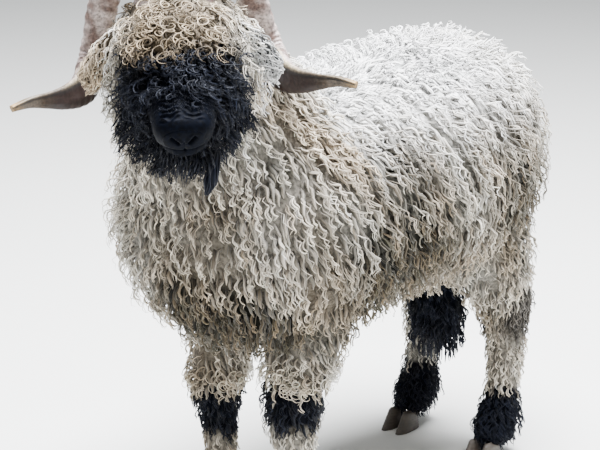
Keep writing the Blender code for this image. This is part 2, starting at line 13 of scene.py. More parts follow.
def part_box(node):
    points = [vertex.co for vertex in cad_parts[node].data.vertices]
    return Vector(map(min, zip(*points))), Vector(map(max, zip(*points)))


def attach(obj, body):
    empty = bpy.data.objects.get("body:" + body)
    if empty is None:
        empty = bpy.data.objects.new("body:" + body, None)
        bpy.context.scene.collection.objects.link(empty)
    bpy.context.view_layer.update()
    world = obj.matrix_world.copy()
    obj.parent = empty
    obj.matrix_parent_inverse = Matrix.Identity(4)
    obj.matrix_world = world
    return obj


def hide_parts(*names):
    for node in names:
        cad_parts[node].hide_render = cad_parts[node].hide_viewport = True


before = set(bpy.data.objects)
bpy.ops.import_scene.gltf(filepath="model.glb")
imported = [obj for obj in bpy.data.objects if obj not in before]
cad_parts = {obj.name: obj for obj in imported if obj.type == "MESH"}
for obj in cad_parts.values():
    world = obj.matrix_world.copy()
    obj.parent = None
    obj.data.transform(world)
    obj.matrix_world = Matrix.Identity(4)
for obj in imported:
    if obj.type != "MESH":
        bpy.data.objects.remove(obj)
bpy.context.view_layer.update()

TAU = math.tau

# Directions of the body and of the turned head, the same as in the solids.
UP = np.array([0.0, 0.0, 1.0])
LEFT = np.array([1.0, 0.0, 0.0])
REAR = np.array([0.0, 1.0, 0.0])
HEAD_YAW = math.radians(45)
HEAD_PITCH = math.radians(28)
HEAD_ROLL = math.radians(4)
MUZZLE = np.array([0.209, -0.616, 0.811])
LEVEL = np.array([math.sin(HEAD_YAW), -math.cos(HEAD_YAW), 0.0])
FACE = LEVEL * math.cos(HEAD_PITCH) - UP * math.sin(HEAD_PITCH)
UNROLLED = np.array([math.cos(HEAD_YAW), math.sin(HEAD_YAW), 0.0])
HEAD_LEFT = UNROLLED * math.cos(HEAD_ROLL) + np.cross(FACE, UNROLLED) * math.sin(HEAD_ROLL)
CROWN = np.cross(FACE, HEAD_LEFT)
SKIN_SHARE = 0.3  # how far up the coat's depth the felted base of the wool lies
ROUND_END = 0.06  # how much of a form's length each of its rounded ends takes
EYE_RADIUS = 0.0135
HORN_TWIST = math.radians(150)
FEET = {
    "foreleg_left": (0.118, -0.283),
    "foreleg_right": (-0.075, -0.262),
    "hindleg_left": (0.112, 0.313),
    "hindleg_right": (-0.109, 0.345),
}
draws = np.random.default_rng(11)


def head_point(back, left, up):
    """A place on the head: back from the muzzle, to the left and up, in the head's own directions."""
    return MUZZLE - FACE * back + HEAD_LEFT * left + CROWN * up


def head_place(points):
    """Back, left and up of points, in the head's own directions."""
    away = points - MUZZLE
    return -(away @ FACE), away @ HEAD_LEFT, away @ CROWN


def unit(v):
    return v / np.maximum(np.linalg.norm(v, axis=-1, keepdims=True), 1e-9)


def smooth(value, low, high):
    """0 up to low and 1 from high on, smooth between; the other way round where high is the smaller."""
    t = np.clip((value - low) / (high - low), 0, 1)
    return t * t * (3 - 2 * t)


def band(value, start, low, high, end):
    """1 from low to high and 0 outside start and end, smooth between."""
    return smooth(value, start, low) * (1 - smooth(value, high, end))


def hump(value, width):
    """1 where the value is 0, falling off to about nothing at twice the width."""
    return np.exp(-((value / width) ** 2))


def squared(value, power):
    """A sine or cosine bent towards a box's outline, the more the smaller the power is."""
    return np.sign(value) * np.abs(value) ** power


def distance(points, places):
    """How far each point is from the nearest of some places."""
    return np.min([np.linalg.norm(points - place, axis=1) for place in places], axis=0)


def ripple(points, size, seed):
    """A smooth random field from -1 to 1 with features of about this size."""
    turns = np.random.default_rng(seed)
    total = np.zeros(len(points))
    for _ in range(6):
        way = unit(turns.normal(size=3)) * (TAU / size * turns.uniform(0.6, 1.3))
        total += np.sin(points @ way + turns.uniform(0, TAU))
    return total / 3.2


class Form:
    """A bent form of oval section: stations are (x, y, z, half width, half depth), widths along `side`."""

    def __init__(self, stations, side=LEFT, squareness=2.0, coat=0.0, cap=0.0):
        rows = np.array(stations, float)
        self.rows = np.column_stack([rows, np.broadcast_to(coat, len(rows))])
        self.side = side
        self.power = 2.0 / squareness
        self.last = len(rows) - 1
        self.cap = cap

    def row(self, u):
        """The stations at each u, on a smooth curve through them all."""
        u = np.clip(u, 0, self.last)
        i = np.minimum(u.astype(int), self.last - 1)
        t = (u - i)[:, None]
        a, b, c, d = (self.rows[np.clip(i + k, 0, self.last)] for k in (-1, 0, 1, 2))
        return 0.5 * (
            2 * b
            + (c - a) * t
            + (2 * a - 5 * b + 4 * c - d) * t**2
            + (3 * b - a - 3 * c + d) * t**3
        )

    def axes(self, u):
        along = unit(self.row(u + 0.05)[:, :3] - self.row(u - 0.05)[:, :3])
        side = unit(self.side - along * (along @ self.side)[:, None])
        return along, side, np.cross(side, along)

    def skin(self, u, angle, size=1.0):
        row = self.row(u)
        _, side, rise = self.axes(u)
        c, s = np.cos(angle), np.sin(angle)
        x = squared(c, self.power) * row[:, 3] * size
        y = squared(s, self.power) * row[:, 4] * size
        return row[:, :3] + side * x[:, None] + rise * y[:, None]

    def normal(self, u, angle):
        u = np.clip(u, 0.02, self.last - 0.02)
        du = self.skin(u + 0.02, angle) - self.skin(u - 0.02, angle)
        da = self.skin(u, angle + 0.02) - self.skin(u, angle - 0.02)
        n = unit(np.cross(du, da))
        outward = self.skin(u, angle) - self.row(u)[:, :3]
        return n * np.sign((n * outward).sum(1, keepdims=True))

    def coat(self, u):
        return np.maximum(self.row(u)[:, 5], 0)

    def station(self, t):
        """The station at t, which runs from 0 to 1 between the tips of the two rounded ends."""
        return np.clip((t - ROUND_END) / (1 - 2 * ROUND_END), 0, 1) * self.last

    def surface(self, t, angle):
        """Places on the closed form, raised by the felted share of the coat."""
        u = self.station(t)
        rounding = np.clip(np.minimum(t, 1 - t) / ROUND_END, 0, 1) * TAU / 4
        size = np.sin(rounding)
        base = self.skin(u, angle, size)
        out = self.normal(u, angle) * (self.coat(u) * SKIN_SHARE * size)[:, None]
        along = self.axes(u)[0]
        push = np.cos(rounding) * self.cap * np.where(t < 0.5, -1, 1)
        return base + out + along * push[:, None]


# Flesh, from front to rear or from the top down: the same stations as in the solids, here in millimetres.


def mm(*rows):
    """Millimetres as metres."""
    return np.array(rows) / 1000


def along_head(*rows):
    """Stations on the head from rows of back, up, half width and half depth."""
    return [(*head_point(back, 0, up), width, depth) for back, up, width, depth in mm(*rows)]


TORSO = Form(mm(
    (0, -425, 575, 30, 30), (0, -408, 578, 95, 85), (0, -360, 582, 160, 145),
    (0, -280, 585, 202, 180), (0, -160, 588, 205, 180), (0, -20, 596, 200, 174),
    (0, 120, 604, 202, 183), (0, 240, 610, 190, 188), (0, 328, 612, 162, 174),
    (0, 382, 608, 118, 134), (0, 410, 604, 76, 82), (0, 420, 600, 30, 30),
), squareness=2.3, coat=0.05)
NECK = Form(mm(
    (0, -150, 620, 130, 130), (4, -240, 660, 140, 150), (12, -320, 730, 120, 145),
    (28, -390, 810, 86, 118), (46, -432, 868, 70, 90), (56, -455, 900, 45, 50),
), coat=0.045)
SKULL = Form(along_head(
    (282, 22, 30, 30), (268, 20, 54, 52), (240, 14, 66, 68), (200, 6, 70, 74), (160, 0, 66, 68),
    (120, -2, 56, 57), (80, 0, 48, 46), (40, 2, 45, 37), (14, 1, 41, 31), (2, -1, 30, 21),
), side=HEAD_LEFT, squareness=2.3, coat=mm(30, 34, 36, 36, 34, 30, 14, 0, 0, 0), cap=0.006)
JAW = Form(along_head(
    (150, -50, 36, 30), (100, -43, 34, 24), (60, -37, 33, 19), (28, -33, 30, 15), (13, -31, 18, 9),
), side=HEAD_LEFT, squareness=2.3, cap=0.004)
TAIL = Form(mm(
    (0, 350, 725, 16, 12), (0, 410, 712, 24, 18), (0, 450, 655, 26, 18), (0, 462, 560, 24, 16),
    (0, 458, 470, 18, 12), (0, 450, 405, 8, 6),
), coat=0.02)
SCROTUM = Form(mm(
    (4, 262, 460, 30, 32), (4, 272, 385, 30, 30), (4, 280, 320, 38, 36), (4, 286, 265, 40, 38),
    (4, 288, 232, 20, 20),
), coat=0.014)
# share of the foot's x, place behind the foot, height, half width, half depth and coat
FORELEG = mm(
    (1000, 60, 500, 55, 70, 34), (1000, 45, 420, 48, 58, 34), (1000, 22, 345, 37, 43, 30),
    (1000, 10, 290, 34, 37, 24), (1000, 6, 258, 32, 34, 18), (1000, 12, 210, 24, 27, 12),
    (1000, 16, 140, 21, 24, 12), (1000, 12, 90, 26, 28, 12), (1000, -4, 55, 25, 27, 8),
    (1000, -12, 32, 20, 22, 3),
)
HINDLEG = mm(
    (920, -50, 540, 62, 105, 34), (950, -20, 440, 52, 85, 34), (1000, 14, 360, 40, 58, 28),
    (1000, 46, 295, 30, 42, 24), (1000, 50, 240, 24, 30, 22), (1000, 46, 160, 22, 26, 18),
    (1000, 36, 95, 27, 30, 16), (1000, 12, 55, 26, 28, 12), (1000, 2, 32, 21, 23, 4),
)


def leg(name, x, y):
    rows = (FORELEG if name.startswith("fore") else HINDLEG) * (x, 1, 1, 1, 1, 1) + (0, y, 0, 0, 0, 0)
    return Form(rows[:, :5], coat=rows[:, 5])


LEGS = {name: leg(name, *foot) for name, foot in FEET.items()}


def ear_form(side):
    """A leaf that droops outwards from the side of the head."""
    root = head_point(0.212, side * 0.062, 0.038)
    out = unit(HEAD_LEFT * side * 0.66 - UP * 0.7 - FACE * 0.12)
    front = unit(FACE - out * (FACE @ out))
    rise = np.cross(front, out) * side
    stations = [
        (*(root + out * reach - front * 0.004), half, 0.0045)
        for reach, half in mm((0, 17), (30, 22), (65, 22), (95, 16), (110, 8))
    ]
    return Form(stations, side=rise, coat=0.012, cap=0.002)


EARS = {"ear_left": ear_form(1), "ear_right": ear_form(-1)}
BROW = head_point(0.235, 0, 0.072)
# back, left and up from the middle of the brow, with half width and half thickness
HORN_PATH = mm(
    (4, 34, -35, 25, 23), (8, 43, 10, 26, 23), (40, 68, 44, 26, 22), (95, 94, 32, 25, 21),
    (140, 114, -22, 24, 20), (163, 135, -88, 23, 19), (142, 149, -130, 26, 21), (98, 161, -146, 25, 20),
    (50, 182, -146, 19, 16), (20, 206, -142, 13, 11), (-10, 230, -137, 9, 8), (-30, 256, -141, 5, 5),
)


def horn_path(side):
    rise = np.cross(LEVEL, HEAD_LEFT)
    return Form(
        [
            (*(BROW - LEVEL * back + HEAD_LEFT * (left * side) + rise * up), width, thick)
            for back, left, up, width, thick in HORN_PATH
        ]
    )


EYES = {side: head_point(0.152, side * 0.0555, 0.026) for side in (1, -1)}

# The solids were moved so that their box stands on the origin. Their left eye tells how far.
low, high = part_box("eye_left")
SHIFT = np.array((low + high) / 2) - EYES[1]


# Meshes.


def in_scene(name, data):
    """A new object of this data in the scene."""
    made = bpy.data.objects.new(name, data)
    bpy.context.scene.collection.objects.link(made)
    return made


def shaped_ball(name, around, along, place):
    """A closed piece shaped from a ball: place(t, angle) gives its points, t from 0 at one pole to 1."""
    bm = bmesh.new()
    bmesh.ops.create_uvsphere(bm, u_segments=around, v_segments=along, radius=1)
    ball = np.array([v.co for v in bm.verts])
    t = np.arccos(np.clip(ball[:, 2], -1, 1)) / math.pi
    angle = np.arctan2(ball[:, 1], ball[:, 0])
    for v, co in zip(bm.verts, place(t, angle)):
        v.co = co
    bmesh.ops.recalc_face_normals(bm, faces=bm.faces)
    if bm.calc_volume(signed=True) < 0:
        bmesh.ops.reverse_faces(bm, faces=bm.faces)
    mesh = bpy.data.meshes.new(name)
    bm.to_mesh(mesh)
    bm.free()
    return in_scene(name, mesh)


def with_modifier(piece, kind, **settings):
    """The piece with one modifier applied."""
    modifier = piece.modifiers.new(kind.title(), kind)
    for key, value in settings.items():
        setattr(modifier, key, value)
    graph = bpy.context.evaluated_depsgraph_get()
    mesh = bpy.data.meshes.new_from_object(piece.evaluated_get(graph))
    piece.modifiers.clear()
    before, piece.data = piece.data, mesh
    bpy.data.meshes.remove(before)


def joined(pieces):
    """Several pieces as one mesh."""
    bm = bmesh.new()
    for piece in pieces:
        bm.from_mesh(piece.data)
    bm.to_mesh(pieces[0].data)
    bm.free()
    for piece in pieces[1:]:
        bpy.data.objects.remove(piece)
    return pieces[0]


def points_of(mesh):
    flat = np.empty(len(mesh.vertices) * 3)
    mesh.vertices.foreach_get("co", flat)
    return flat.reshape(-1, 3)


def set_points(mesh, points):
    mesh.vertices.foreach_set("co", points.ravel())
    mesh.update()


def colour_layer(mesh, name, colours):
    layer = mesh.color_attributes.new(name, "FLOAT_COLOR", "POINT")
    flat = np.ones((len(colours), 4), np.float32)
    flat[:, :3] = colours
    layer.data.foreach_set("color", flat.ravel())


def uv_layer(mesh, name, places):
    mesh.uv_layers.new(name=name).data.foreach_set("uv", places.astype(np.float32).ravel())


def finish_piece(piece, nodes, material):
    """Moves a piece into the solids' frame and gives it its material, body and replaced nodes."""
    set_points(piece.data, points_of(piece.data) + SHIFT)
    piece.data.materials.clear()
    piece.data.materials.append(material)
    piece.data.polygons.foreach_set("use_smooth", np.ones(len(piece.data.polygons), bool))
    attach(piece, "root")
    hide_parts(*nodes)


# Colours and materials.


def linear(code):
    """An sRGB hex colour as linear values."""
    values = [int(code[k : k + 2], 16) / 255 for k in (1, 3, 5)]
    return np.array([v / 12.92 if v <= 0.04045 else ((v + 0.055) / 1.055) ** 2.4 for v in values])


CREAM = linear("#f3eddf")
TAN = linear("#a68f70")
GOLD = linear("#b59c78")
SILVER = linear("#d4d8dc")
WHITE = linear("#f4f5f5")
# dark olive, for dirt and also for painted shade low on the body
DIRT_AND_SHADE = linear("#4b493a")
BLACK = linear("#080d19")


def blend(colour, other, share):
    """The colour moved towards another by each point's share."""
    return colour + (other - colour) * share[:, None]


def add(tree, kind, settings=(), links=()):
    """Adds a node, sets its attributes or inputs, and links its inputs from sockets."""
    made = tree.nodes.new(kind)
    for key, value in dict(settings).items():
        if isinstance(key, str) and hasattr(made, key):
            setattr(made, key, value)
        else:
            made.inputs[key].default_value = value
    for key, socket in dict(links).items():
        tree.links.new(socket, made.inputs[key])
    return made


def new_material(name, **values):
    material = bpy.data.materials.new(name)
    material.use_nodes = True
    tree = material.node_tree
    shader = tree.nodes["Principled BSDF"]
    for key, value in values.items():
        shader.inputs[key.replace("_", " ").title().replace("Ior", "IOR")].default_value = value
    return material, tree, shader


def noise(tree, vector, scale, detail=3.0):
    made = add(tree, "ShaderNodeTexNoise", {"Scale": scale, "Detail": detail}, {"Vector": vector})
    return made.outputs["Fac"]


def object_place(tree):
    return add(tree, "ShaderNodeTexCoord").outputs["Object"]


def painted(tree, shader, layer, grain, ends):
    """The mesh's own colours, scaled by a grain. The ends are first the grain's, then the scale's."""
    colour = add(tree, "ShaderNodeVertexColor", {"layer_name": layer}).outputs["Color"]
    ends = zip(("From Min", "From Max", "To Min", "To Max"), ends)
    shade = add(tree, "ShaderNodeMapRange", ends, {"Value": grain}).outputs["Result"]
    mixed = add(tree, "ShaderNodeVectorMath", {"operation": "SCALE"}, {0: colour, "Scale": shade})
    tree.links.new(mixed.outputs["Vector"], shader.inputs["Base Color"])


def bumped(tree, shader, height, strength, distance=0.001):
    bump = add(tree, "ShaderNodeBump", {"Strength": strength, "Distance": distance}, {"Height": height})
    tree.links.new(bump.outputs["Normal"], shader.inputs["Normal"])


def wool_material(name, roughness, specular, sheen):
    """Raw sheep's wool: matt, its fibres laid along each lock, softened where the light grazes it."""
    material, tree, shader = new_material(
        name, roughness=roughness, specular_ior_level=specular, sheen_weight=sheen
    )
    laid = add(tree, "ShaderNodeUVMap", {"uv_map": "fibre"}).outputs["UV"]
    # bunches of fibres 2.5 mm across and 25 mm long
    drawn = add(tree, "ShaderNodeMapping", {"Scale": (400.0, 40.0, 1.0)}, {"Vector": laid})
    fibres = noise(tree, drawn.outputs["Vector"], 1.0)
    painted(tree, shader, "wool", fibres, (0.3, 0.7, 0.45, 1.35))
    bumped(tree, shader, fibres, 0.8)
    return material


def skin_material():
    """Felted wool base and, on the muzzle, short black velvet hair on wrinkled skin."""
    material, tree, shader = new_material(
        "felted wool and muzzle skin", roughness=0.62, specular_ior_level=0.03
    )
    place = object_place(tree)
    folds = noise(tree, place, 160.0)
    pores = noise(tree, place, 900.0)
    both = add(tree, "ShaderNodeMath", {"operation": "MULTIPLY_ADD", 1: 0.4}, {0: pores, 2: folds})
    painted(tree, shader, "wool", folds, (0.35, 0.65, 0.5, 1.4))
    bumped(tree, shader, both.outputs["Value"], 0.5, 0.0012)
    return material


# Darker patches on the fleece, partly dirt and partly painted shade: place, radius and strength.
STAINS_AND_SHADE = (
    ((0.2, -0.12, 0.72), 0.05, 0.8),
    ((0.21, -0.08, 0.67), 0.045, 0.6),
    ((0.2, -0.19, 0.53), 0.065, 0.9),
    ((0.2, -0.12, 0.55), 0.08, 0.9),
    ((0.18, -0.02, 0.53), 0.085, 0.9),
    ((0.19, 0.24, 0.6), 0.09, 0.6),
    ((0.15, 0.36, 0.54), 0.09, 0.9),
)


def markings(points):
    """The wool's colour before each lock's own variation, and how black it is, for places on the body."""
    back, left, up = head_place(points)
    side = np.abs(left)
    x, y, z = points.T
    wander = ripple(points, 0.05, 3) * 0.01
    # the face: a round black mask from the brow to the throat
    limit = np.minimum(0.118 + 0.95 * np.maximum(side - 0.024, 0), 0.185) + wander
    face = (1 - smooth(back, limit - 0.004, limit + 0.006)) * (1 - smooth(side, 0.108, 0.116))
    face = face * smooth(up, -0.14, -0.125)
    # knees, hocks, feet and scrotum
    fore, near = y < 0.05, x > 0.02
    low, high = np.where(near, 0.262, 0.185), np.where(near, 0.334, 0.284)
    knee = fore * band(z + wander, low - 0.006, low + 0.006, high - 0.006, high + 0.006)
    feet = 1 - smooth(z + wander * 0.6, np.where(fore, 0.112, 0.138), np.where(fore, 0.126, 0.15))
    hock = ~fore * band(z + wander, 0.245, 0.265, 0.35, 0.37)
    hock = hock * smooth(y - 0.6 * np.abs(z - 0.31), 0.292, 0.312)
    pouch = (np.abs(x - 0.004) < 0.058) * (y > 0.2) * (y < 0.345) * (z < 0.44) * (z > 0.19)
    black = np.clip(face + knee + feet + 0.85 * hock + pouch, 0, 1)
    # cream: paler along the back as painted light from above, tan over the shoulder and rump, golden on the
    # brow, and darker low down, partly dirt and partly painted shade
    # the top of the back, where light from above falls
    top = smooth(z, 0.62, 0.8) * (y > -0.2) * (1 - 0.5 * smooth(y, 0.16, 0.34))
    warm = np.clip(0.38 + 0.7 * ripple(points, 0.16, 5) + 0.3 * smooth(y, 0.3, 0.45), 0, 1)
    brow = (back < 0.32) * (back > 0) * (1 - smooth(side, 0.05, 0.09)) * smooth(up, -0.06, 0.02)
    ear = (back > 0.12) * (back < 0.29) * smooth(side, 0.085, 0.105) * (side < 0.2) * (up > -0.09)
    # painted shade under the chest between the forelegs, where it turns in
    brisket_shade = (1 - smooth(np.abs(x - 0.05), 0.07, 0.14)) * (y < -0.08) * (1 - smooth(z, 0.48, 0.56))
    brisket_shade = brisket_shade * smooth(z, 0.37, 0.45)
    # darker low down: partly dirt, partly painted shade under the body
    soil_and_shade = 0.6 * (1 - smooth(z, 0.34, 0.56)) * np.clip(0.5 + 0.8 * ripple(points, 0.09, 6), 0, 1)
    soil_and_shade = soil_and_shade * (0.5 + 0.3 * (z > 0.4))
    # darker patches: partly dirt, partly painted shade
    stain_and_shade = np.zeros(len(points))
    for spot, radius, strength in STAINS_AND_SHADE:
        stain_and_shade += strength * np.exp(-((points - np.array(spot)) ** 2).sum(1) / radius**2)
    stain_and_shade = np.clip(stain_and_shade * (0.9 + 0.4 * ripple(points, 0.03, 9)), 0, 1)
    patches = 0.35 * smooth(ripple(points, 0.13, 8), 0.1, 0.9) * (1 - top)
    soil_and_shade = np.clip(soil_and_shade + stain_and_shade + brisket_shade + patches, 0, 1)
    colour = blend(CREAM, TAN, 0.7 * warm * (1 - top))
    colour = blend(colour, GOLD, 0.75 * brow)
    colour = blend(colour, np.where(left[:, None] > 0, SILVER, TAN), ear * 0.8)
    colour = blend(colour, DIRT_AND_SHADE, soil_and_shade)
    # painted shade, made deeper under the chest and in the darker patches
    colour = colour * (1 - np.maximum(0.7 * brisket_shade, 0.6 * stain_and_shade))[:, None]
    # painted light: the back paler and whiter where light from above falls on it
    colour = blend(colour, WHITE, 0.9 * top * (1 - brow) * (1 - 0.8 * stain_and_shade))
    return blend(colour, BLACK, black), black


# The skin.


def carve_face(points, normals):
    """Nostrils, the groove between them, lips, wrinkles and lids, as moves along the normals."""
    back, left, up = head_place(points)
    side = np.abs(left)
    move = np.zeros(len(points))
    # nostrils: slits that run up and outwards from beside the groove
    run = (side - 0.006) * 0.62 + (up + 0.006) * 0.78
    off = (side - 0.006) * -0.78 + (up + 0.006) * 0.62
    in_slit = band(run, -0.002, 0.003, 0.014, 0.021)
    near = (1 - smooth(back, 0.02, 0.032)) * (up > -0.03)
    move -= 0.0075 * near * in_slit * hump(off + 0.0015, 0.0026)
    move += 0.0016 * near * in_slit * hump(off - 0.0055, 0.0025)
    # the groove from the nose to the lip
    groove = near * (1 - smooth(up, -0.004, 0.004))
    move -= 0.0024 * groove * hump(left, 0.0016)
    # folds in pairs on either side of the nose's middle, deepest just above the nostrils
    bridge = band(back, 0.007, 0.015, 0.054, 0.07) * smooth(up, -0.002, 0.01)
    bend = back - 0.5 * np.abs(side - 0.016) + 0.002 * ripple(points, 0.018, 41) + 0.0008 * np.sign(left)
    wave = 1 - 2 * np.abs(np.sin(0.5 * TAU * bend / 0.0086)) ** 0.8
    beside = band(side, 0.001, 0.006, 0.024, 0.036)
    move += 0.0028 * (0.75 + 0.4 * ripple(points, 0.015, 42)) * bridge * wave * beside
    move -= 0.0018 * bridge * hump(left, 0.004)
    # lids round each eye
    for sign, eye in EYES.items():
        axis = unit(HEAD_LEFT * sign + FACE * 0.18 + CROWN * 0.1)
        away = points - eye
        depth = away @ axis
        flat = away - depth[:, None] * axis
        front = unit(FACE - axis * (FACE @ axis))
        rise = np.cross(axis, front) * sign
        ring = np.hypot((flat @ front) / 1.3, flat @ rise)
        close = (depth > -0.004) * (ring < 0.03)
        move += close * 0.0055 * hump(ring - 0.0122, 0.0028)
        move -= close * 0.008 * (1 - smooth(ring, 0.006, 0.0105))
    return points + normals * move[:, None]


def make_skin():
    """One skin over the whole body: fused, smoothed, then with the finer head and ears joined to it."""
    body = [("torso", 96, 96, TORSO), ("neck", 80, 60, NECK), ("tail", 32, 40, TAIL)]
    body += [("scrotum", 40, 40, SCROTUM), ("back_of_head", 60, 60, SKULL)]
    body += [(name, 40, 90, form) for name, form in LEGS.items()]
    skin = joined([shaped_ball(name, around, along, form.surface) for name, around, along, form in body])
    with_modifier(skin, "REMESH", mode="VOXEL", voxel_size=0.0075)
    with_modifier(skin, "SMOOTH", factor=0.6, iterations=6)

    def muzzle_first(t, angle):
        """More rings towards the muzzle, where the detail is."""
        return SKULL.surface(1 - (1 - t) ** 1.5, angle)

    fine = [shaped_ball("skull", 190, 240, muzzle_first), shaped_ball("jaw", 90, 90, JAW.surface)]
    fine += [shaped_ball(name, 60, 40, form.surface) for name, form in EARS.items()]
    parts = bpy.data.collections.new("parts")
    bpy.context.scene.collection.children.link(parts)
    for piece in fine:
        bpy.context.scene.collection.objects.unlink(piece)
        parts.objects.link(piece)
    union = {"operation": "UNION", "operand_type": "COLLECTION", "collection": parts, "solver": "MANIFOLD"}
    with_modifier(skin, "BOOLEAN", **union)
    for piece in fine:
        bpy.data.objects.remove(piece)
    bpy.data.collections.remove(parts)
    skin.name = "skin"
    mesh = skin.data
    normals = np.empty(len(mesh.vertices) * 3)
    mesh.vertices.foreach_get("normal", normals)
    points = points_of(mesh)
    back, _, _ = head_place(points)
    carved = carve_face(points, normals.reshape(-1, 3))
    set_points(mesh, np.where((back < 0.22)[:, None], carved, points))
    return skin


# The coat.

FORMS = {
    "torso": TORSO,
    "neck": NECK,
    "head": SKULL,
    "jaw": JAW,
    "tail": TAIL,
    "scrotum": SCROTUM,
    **EARS,
    **LEGS,
}
NAMES = list(FORMS)
# Where each form lies on the unwrapped skin: corner and size of its tile, in hundredths.
TILES = {
    "torso": (1, 1, 56, 56),
    "neck": (60, 1, 38, 30),
    "head": (60, 33, 38, 24),
    "tail": (1, 60, 16, 16),
    "scrotum": (19, 60, 16, 16),
    "ear_left": (37, 60, 12, 12),
    "ear_right": (51, 60, 12, 12),
    "jaw": (65, 60, 16, 16),
    "foreleg_left": (1, 79, 22, 19),
    "foreleg_right": (26, 79, 22, 19),
    "hindleg_left": (51, 79, 22, 19),
    "hindleg_right": (76, 79, 22, 19),
}


def form_samples():
    """Points all over the forms, each with its form's number, station and angle."""
    grid = np.meshgrid(np.linspace(0.02, 0.98, 70), np.linspace(0, TAU, 48, endpoint=False))
    t, angle = (axis.ravel() for axis in grid)
    rows = [
        np.column_stack([form.surface(t, angle), np.full(len(t), number), form.station(t), angle])
        for number, form in enumerate(FORMS.values())
    ]
    return np.concatenate(rows)


def steady_triangles(mesh):
    """The mesh's triangles in the same order in every run: each face is fanned from its lowest vertex."""
    triangles = []
    for face in mesh.polygons:
        ring = list(face.vertices)
        first = ring.index(min(ring))
        ring = ring[first:] + ring[:first]
        triangles += [(ring[0], ring[k], ring[k + 1]) for k in range(1, len(ring) - 1)]
    return np.array(sorted(triangles), np.int32)


class Hide:
    """The skin's triangles, and where each one lies on the forms beneath it."""

    def __init__(self, mesh):
        points, triangles = points_of(mesh), steady_triangles(mesh)
        self.surface = BVHTree.FromPolygons(points.tolist(), triangles.tolist(), all_triangles=True)
        self.corners = points[triangles]
        edges = self.corners[:, 1:] - self.corners[:, :1]
        across = np.cross(edges[:, 0], edges[:, 1])
        self.area = np.linalg.norm(across, axis=1) / 2
        normals = np.zeros_like(points)
        for corner in range(3):
            np.add.at(normals, triangles[:, corner], across)
        normals = normals / np.maximum(np.linalg.norm(normals, axis=1, keepdims=True), 1e-12)
        self.normals = normals[triangles]
        self.middle = self.corners.mean(1)
        samples = form_samples()
        finder = KDTree(len(samples))
        for i, co in enumerate(samples[:, :3]):
            finder.insert(co, i)
        finder.balance()
        nearest = samples[[finder.find(co)[1] for co in self.middle]]
        self.number = nearest[:, 3].astype(int)
        self.u, self.angle, self.spot = nearest[:, 4], nearest[:, 5], nearest[:, :3]
        self.coat = np.empty(len(self.u))
        for number, form in enumerate(FORMS.values()):
            mine = self.number == number
            self.coat[mine] = form.coat(self.u[mine])
        frizz = 0.024 * smooth(head_place(self.middle)[0], 0.03, 0.08)
        self.coat = np.where(self.on("head", "jaw") > 0, np.maximum(self.coat, frizz), self.coat)
        horns = np.concatenate([horn_path(side).row(np.linspace(1, 8, 60))[:, :3] for side in (1, -1)])
        self.coat = self.coat * (0.3 + 0.7 * smooth(distance(self.middle, horns), 0.03, 0.065))
        self.pick = draws.uniform(0, 1, len(self.u))

    def on(self, *names):
        """1 for triangles on these forms, 0 elsewhere."""
        return np.isin(self.number, [NAMES.index(name) for name in names]).astype(float)

    def scatter(self, weight):
        """Random places on the triangles, as many in each as its weight: triangle, place and normal."""
        chosen = draws.choice(len(weight), int(weight.sum()), p=weight / weight.sum())
        a, b = draws.uniform(0, 1, (2, len(chosen)))
        over = a + b > 1
        a, b = np.where(over, 1 - a, a), np.where(over, 1 - b, b)
        share = np.column_stack([1 - a - b, a, b])[:, :, None]
        return chosen, (self.corners[chosen] * share).sum(1), unit((self.normals[chosen] * share).sum(1))

    def tiles(self, chosen, places):
        """Each place on the unwrapped skin."""
        out = np.empty((len(chosen), 2))
        for number, (name, form) in enumerate(FORMS.items()):
            mine = self.number[chosen] == number
            which = chosen[mine]
            u, angle = self.u[which], self.angle[which]
            away = places[mine] - self.spot[which]
            for_u = (form.skin(u + 0.05, angle) - form.skin(u - 0.05, angle)) / 0.1
            for_angle = (form.skin(u, angle + 0.05) - form.skin(u, angle - 0.05)) / 0.1
            du = (away * for_u).sum(1) / np.maximum((for_u**2).sum(1), 1e-8)
            da = (away * for_angle).sum(1) / np.maximum((for_angle**2).sum(1), 1e-8)
            u = np.clip(u + np.clip(du, -0.2, 0.2), 0, form.last) / form.last
            angle = (angle + np.clip(da, -0.1, 0.1)) % TAU / TAU
            x, y, wide, tall = np.array(TILES[name]) / 100
            out[mine] = np.column_stack([x + wide * angle, y + tall * u])
        return out


PIECE_TRIANGLES = 190000  # about the most in one piece of wool
PATCH = 0.003  # the side of each strand's patch on the unwrapped skin
PALEST = 0.92  # no wool reflects more
# painted shade at the root and painted highlight towards the tip
WAVY = (0.26, 0.74, 1.1, 1.4)  # shades from root to tip
# What locks share unless their own style says otherwise. Reach, radius, swirl, splay and sunk are in
# metres, height in depths of the coat. Where skin faces down more than fall, its wool hangs free, by hang
# at most.
COMMON = dict(
    strands=1, height=1.0, sunk=0.003, low=0.35, ragged=0.3, flatness=0.7, open=-0.3, hang=0.7, fall=0.15,
    free=False, splay=0.0, spread=(0.8, 1.0, 0.75, 0.15), thin=0.75, lift=0.0, vary=(0.78, 1.18),
    roll=0.9, shades=WAVY,
)


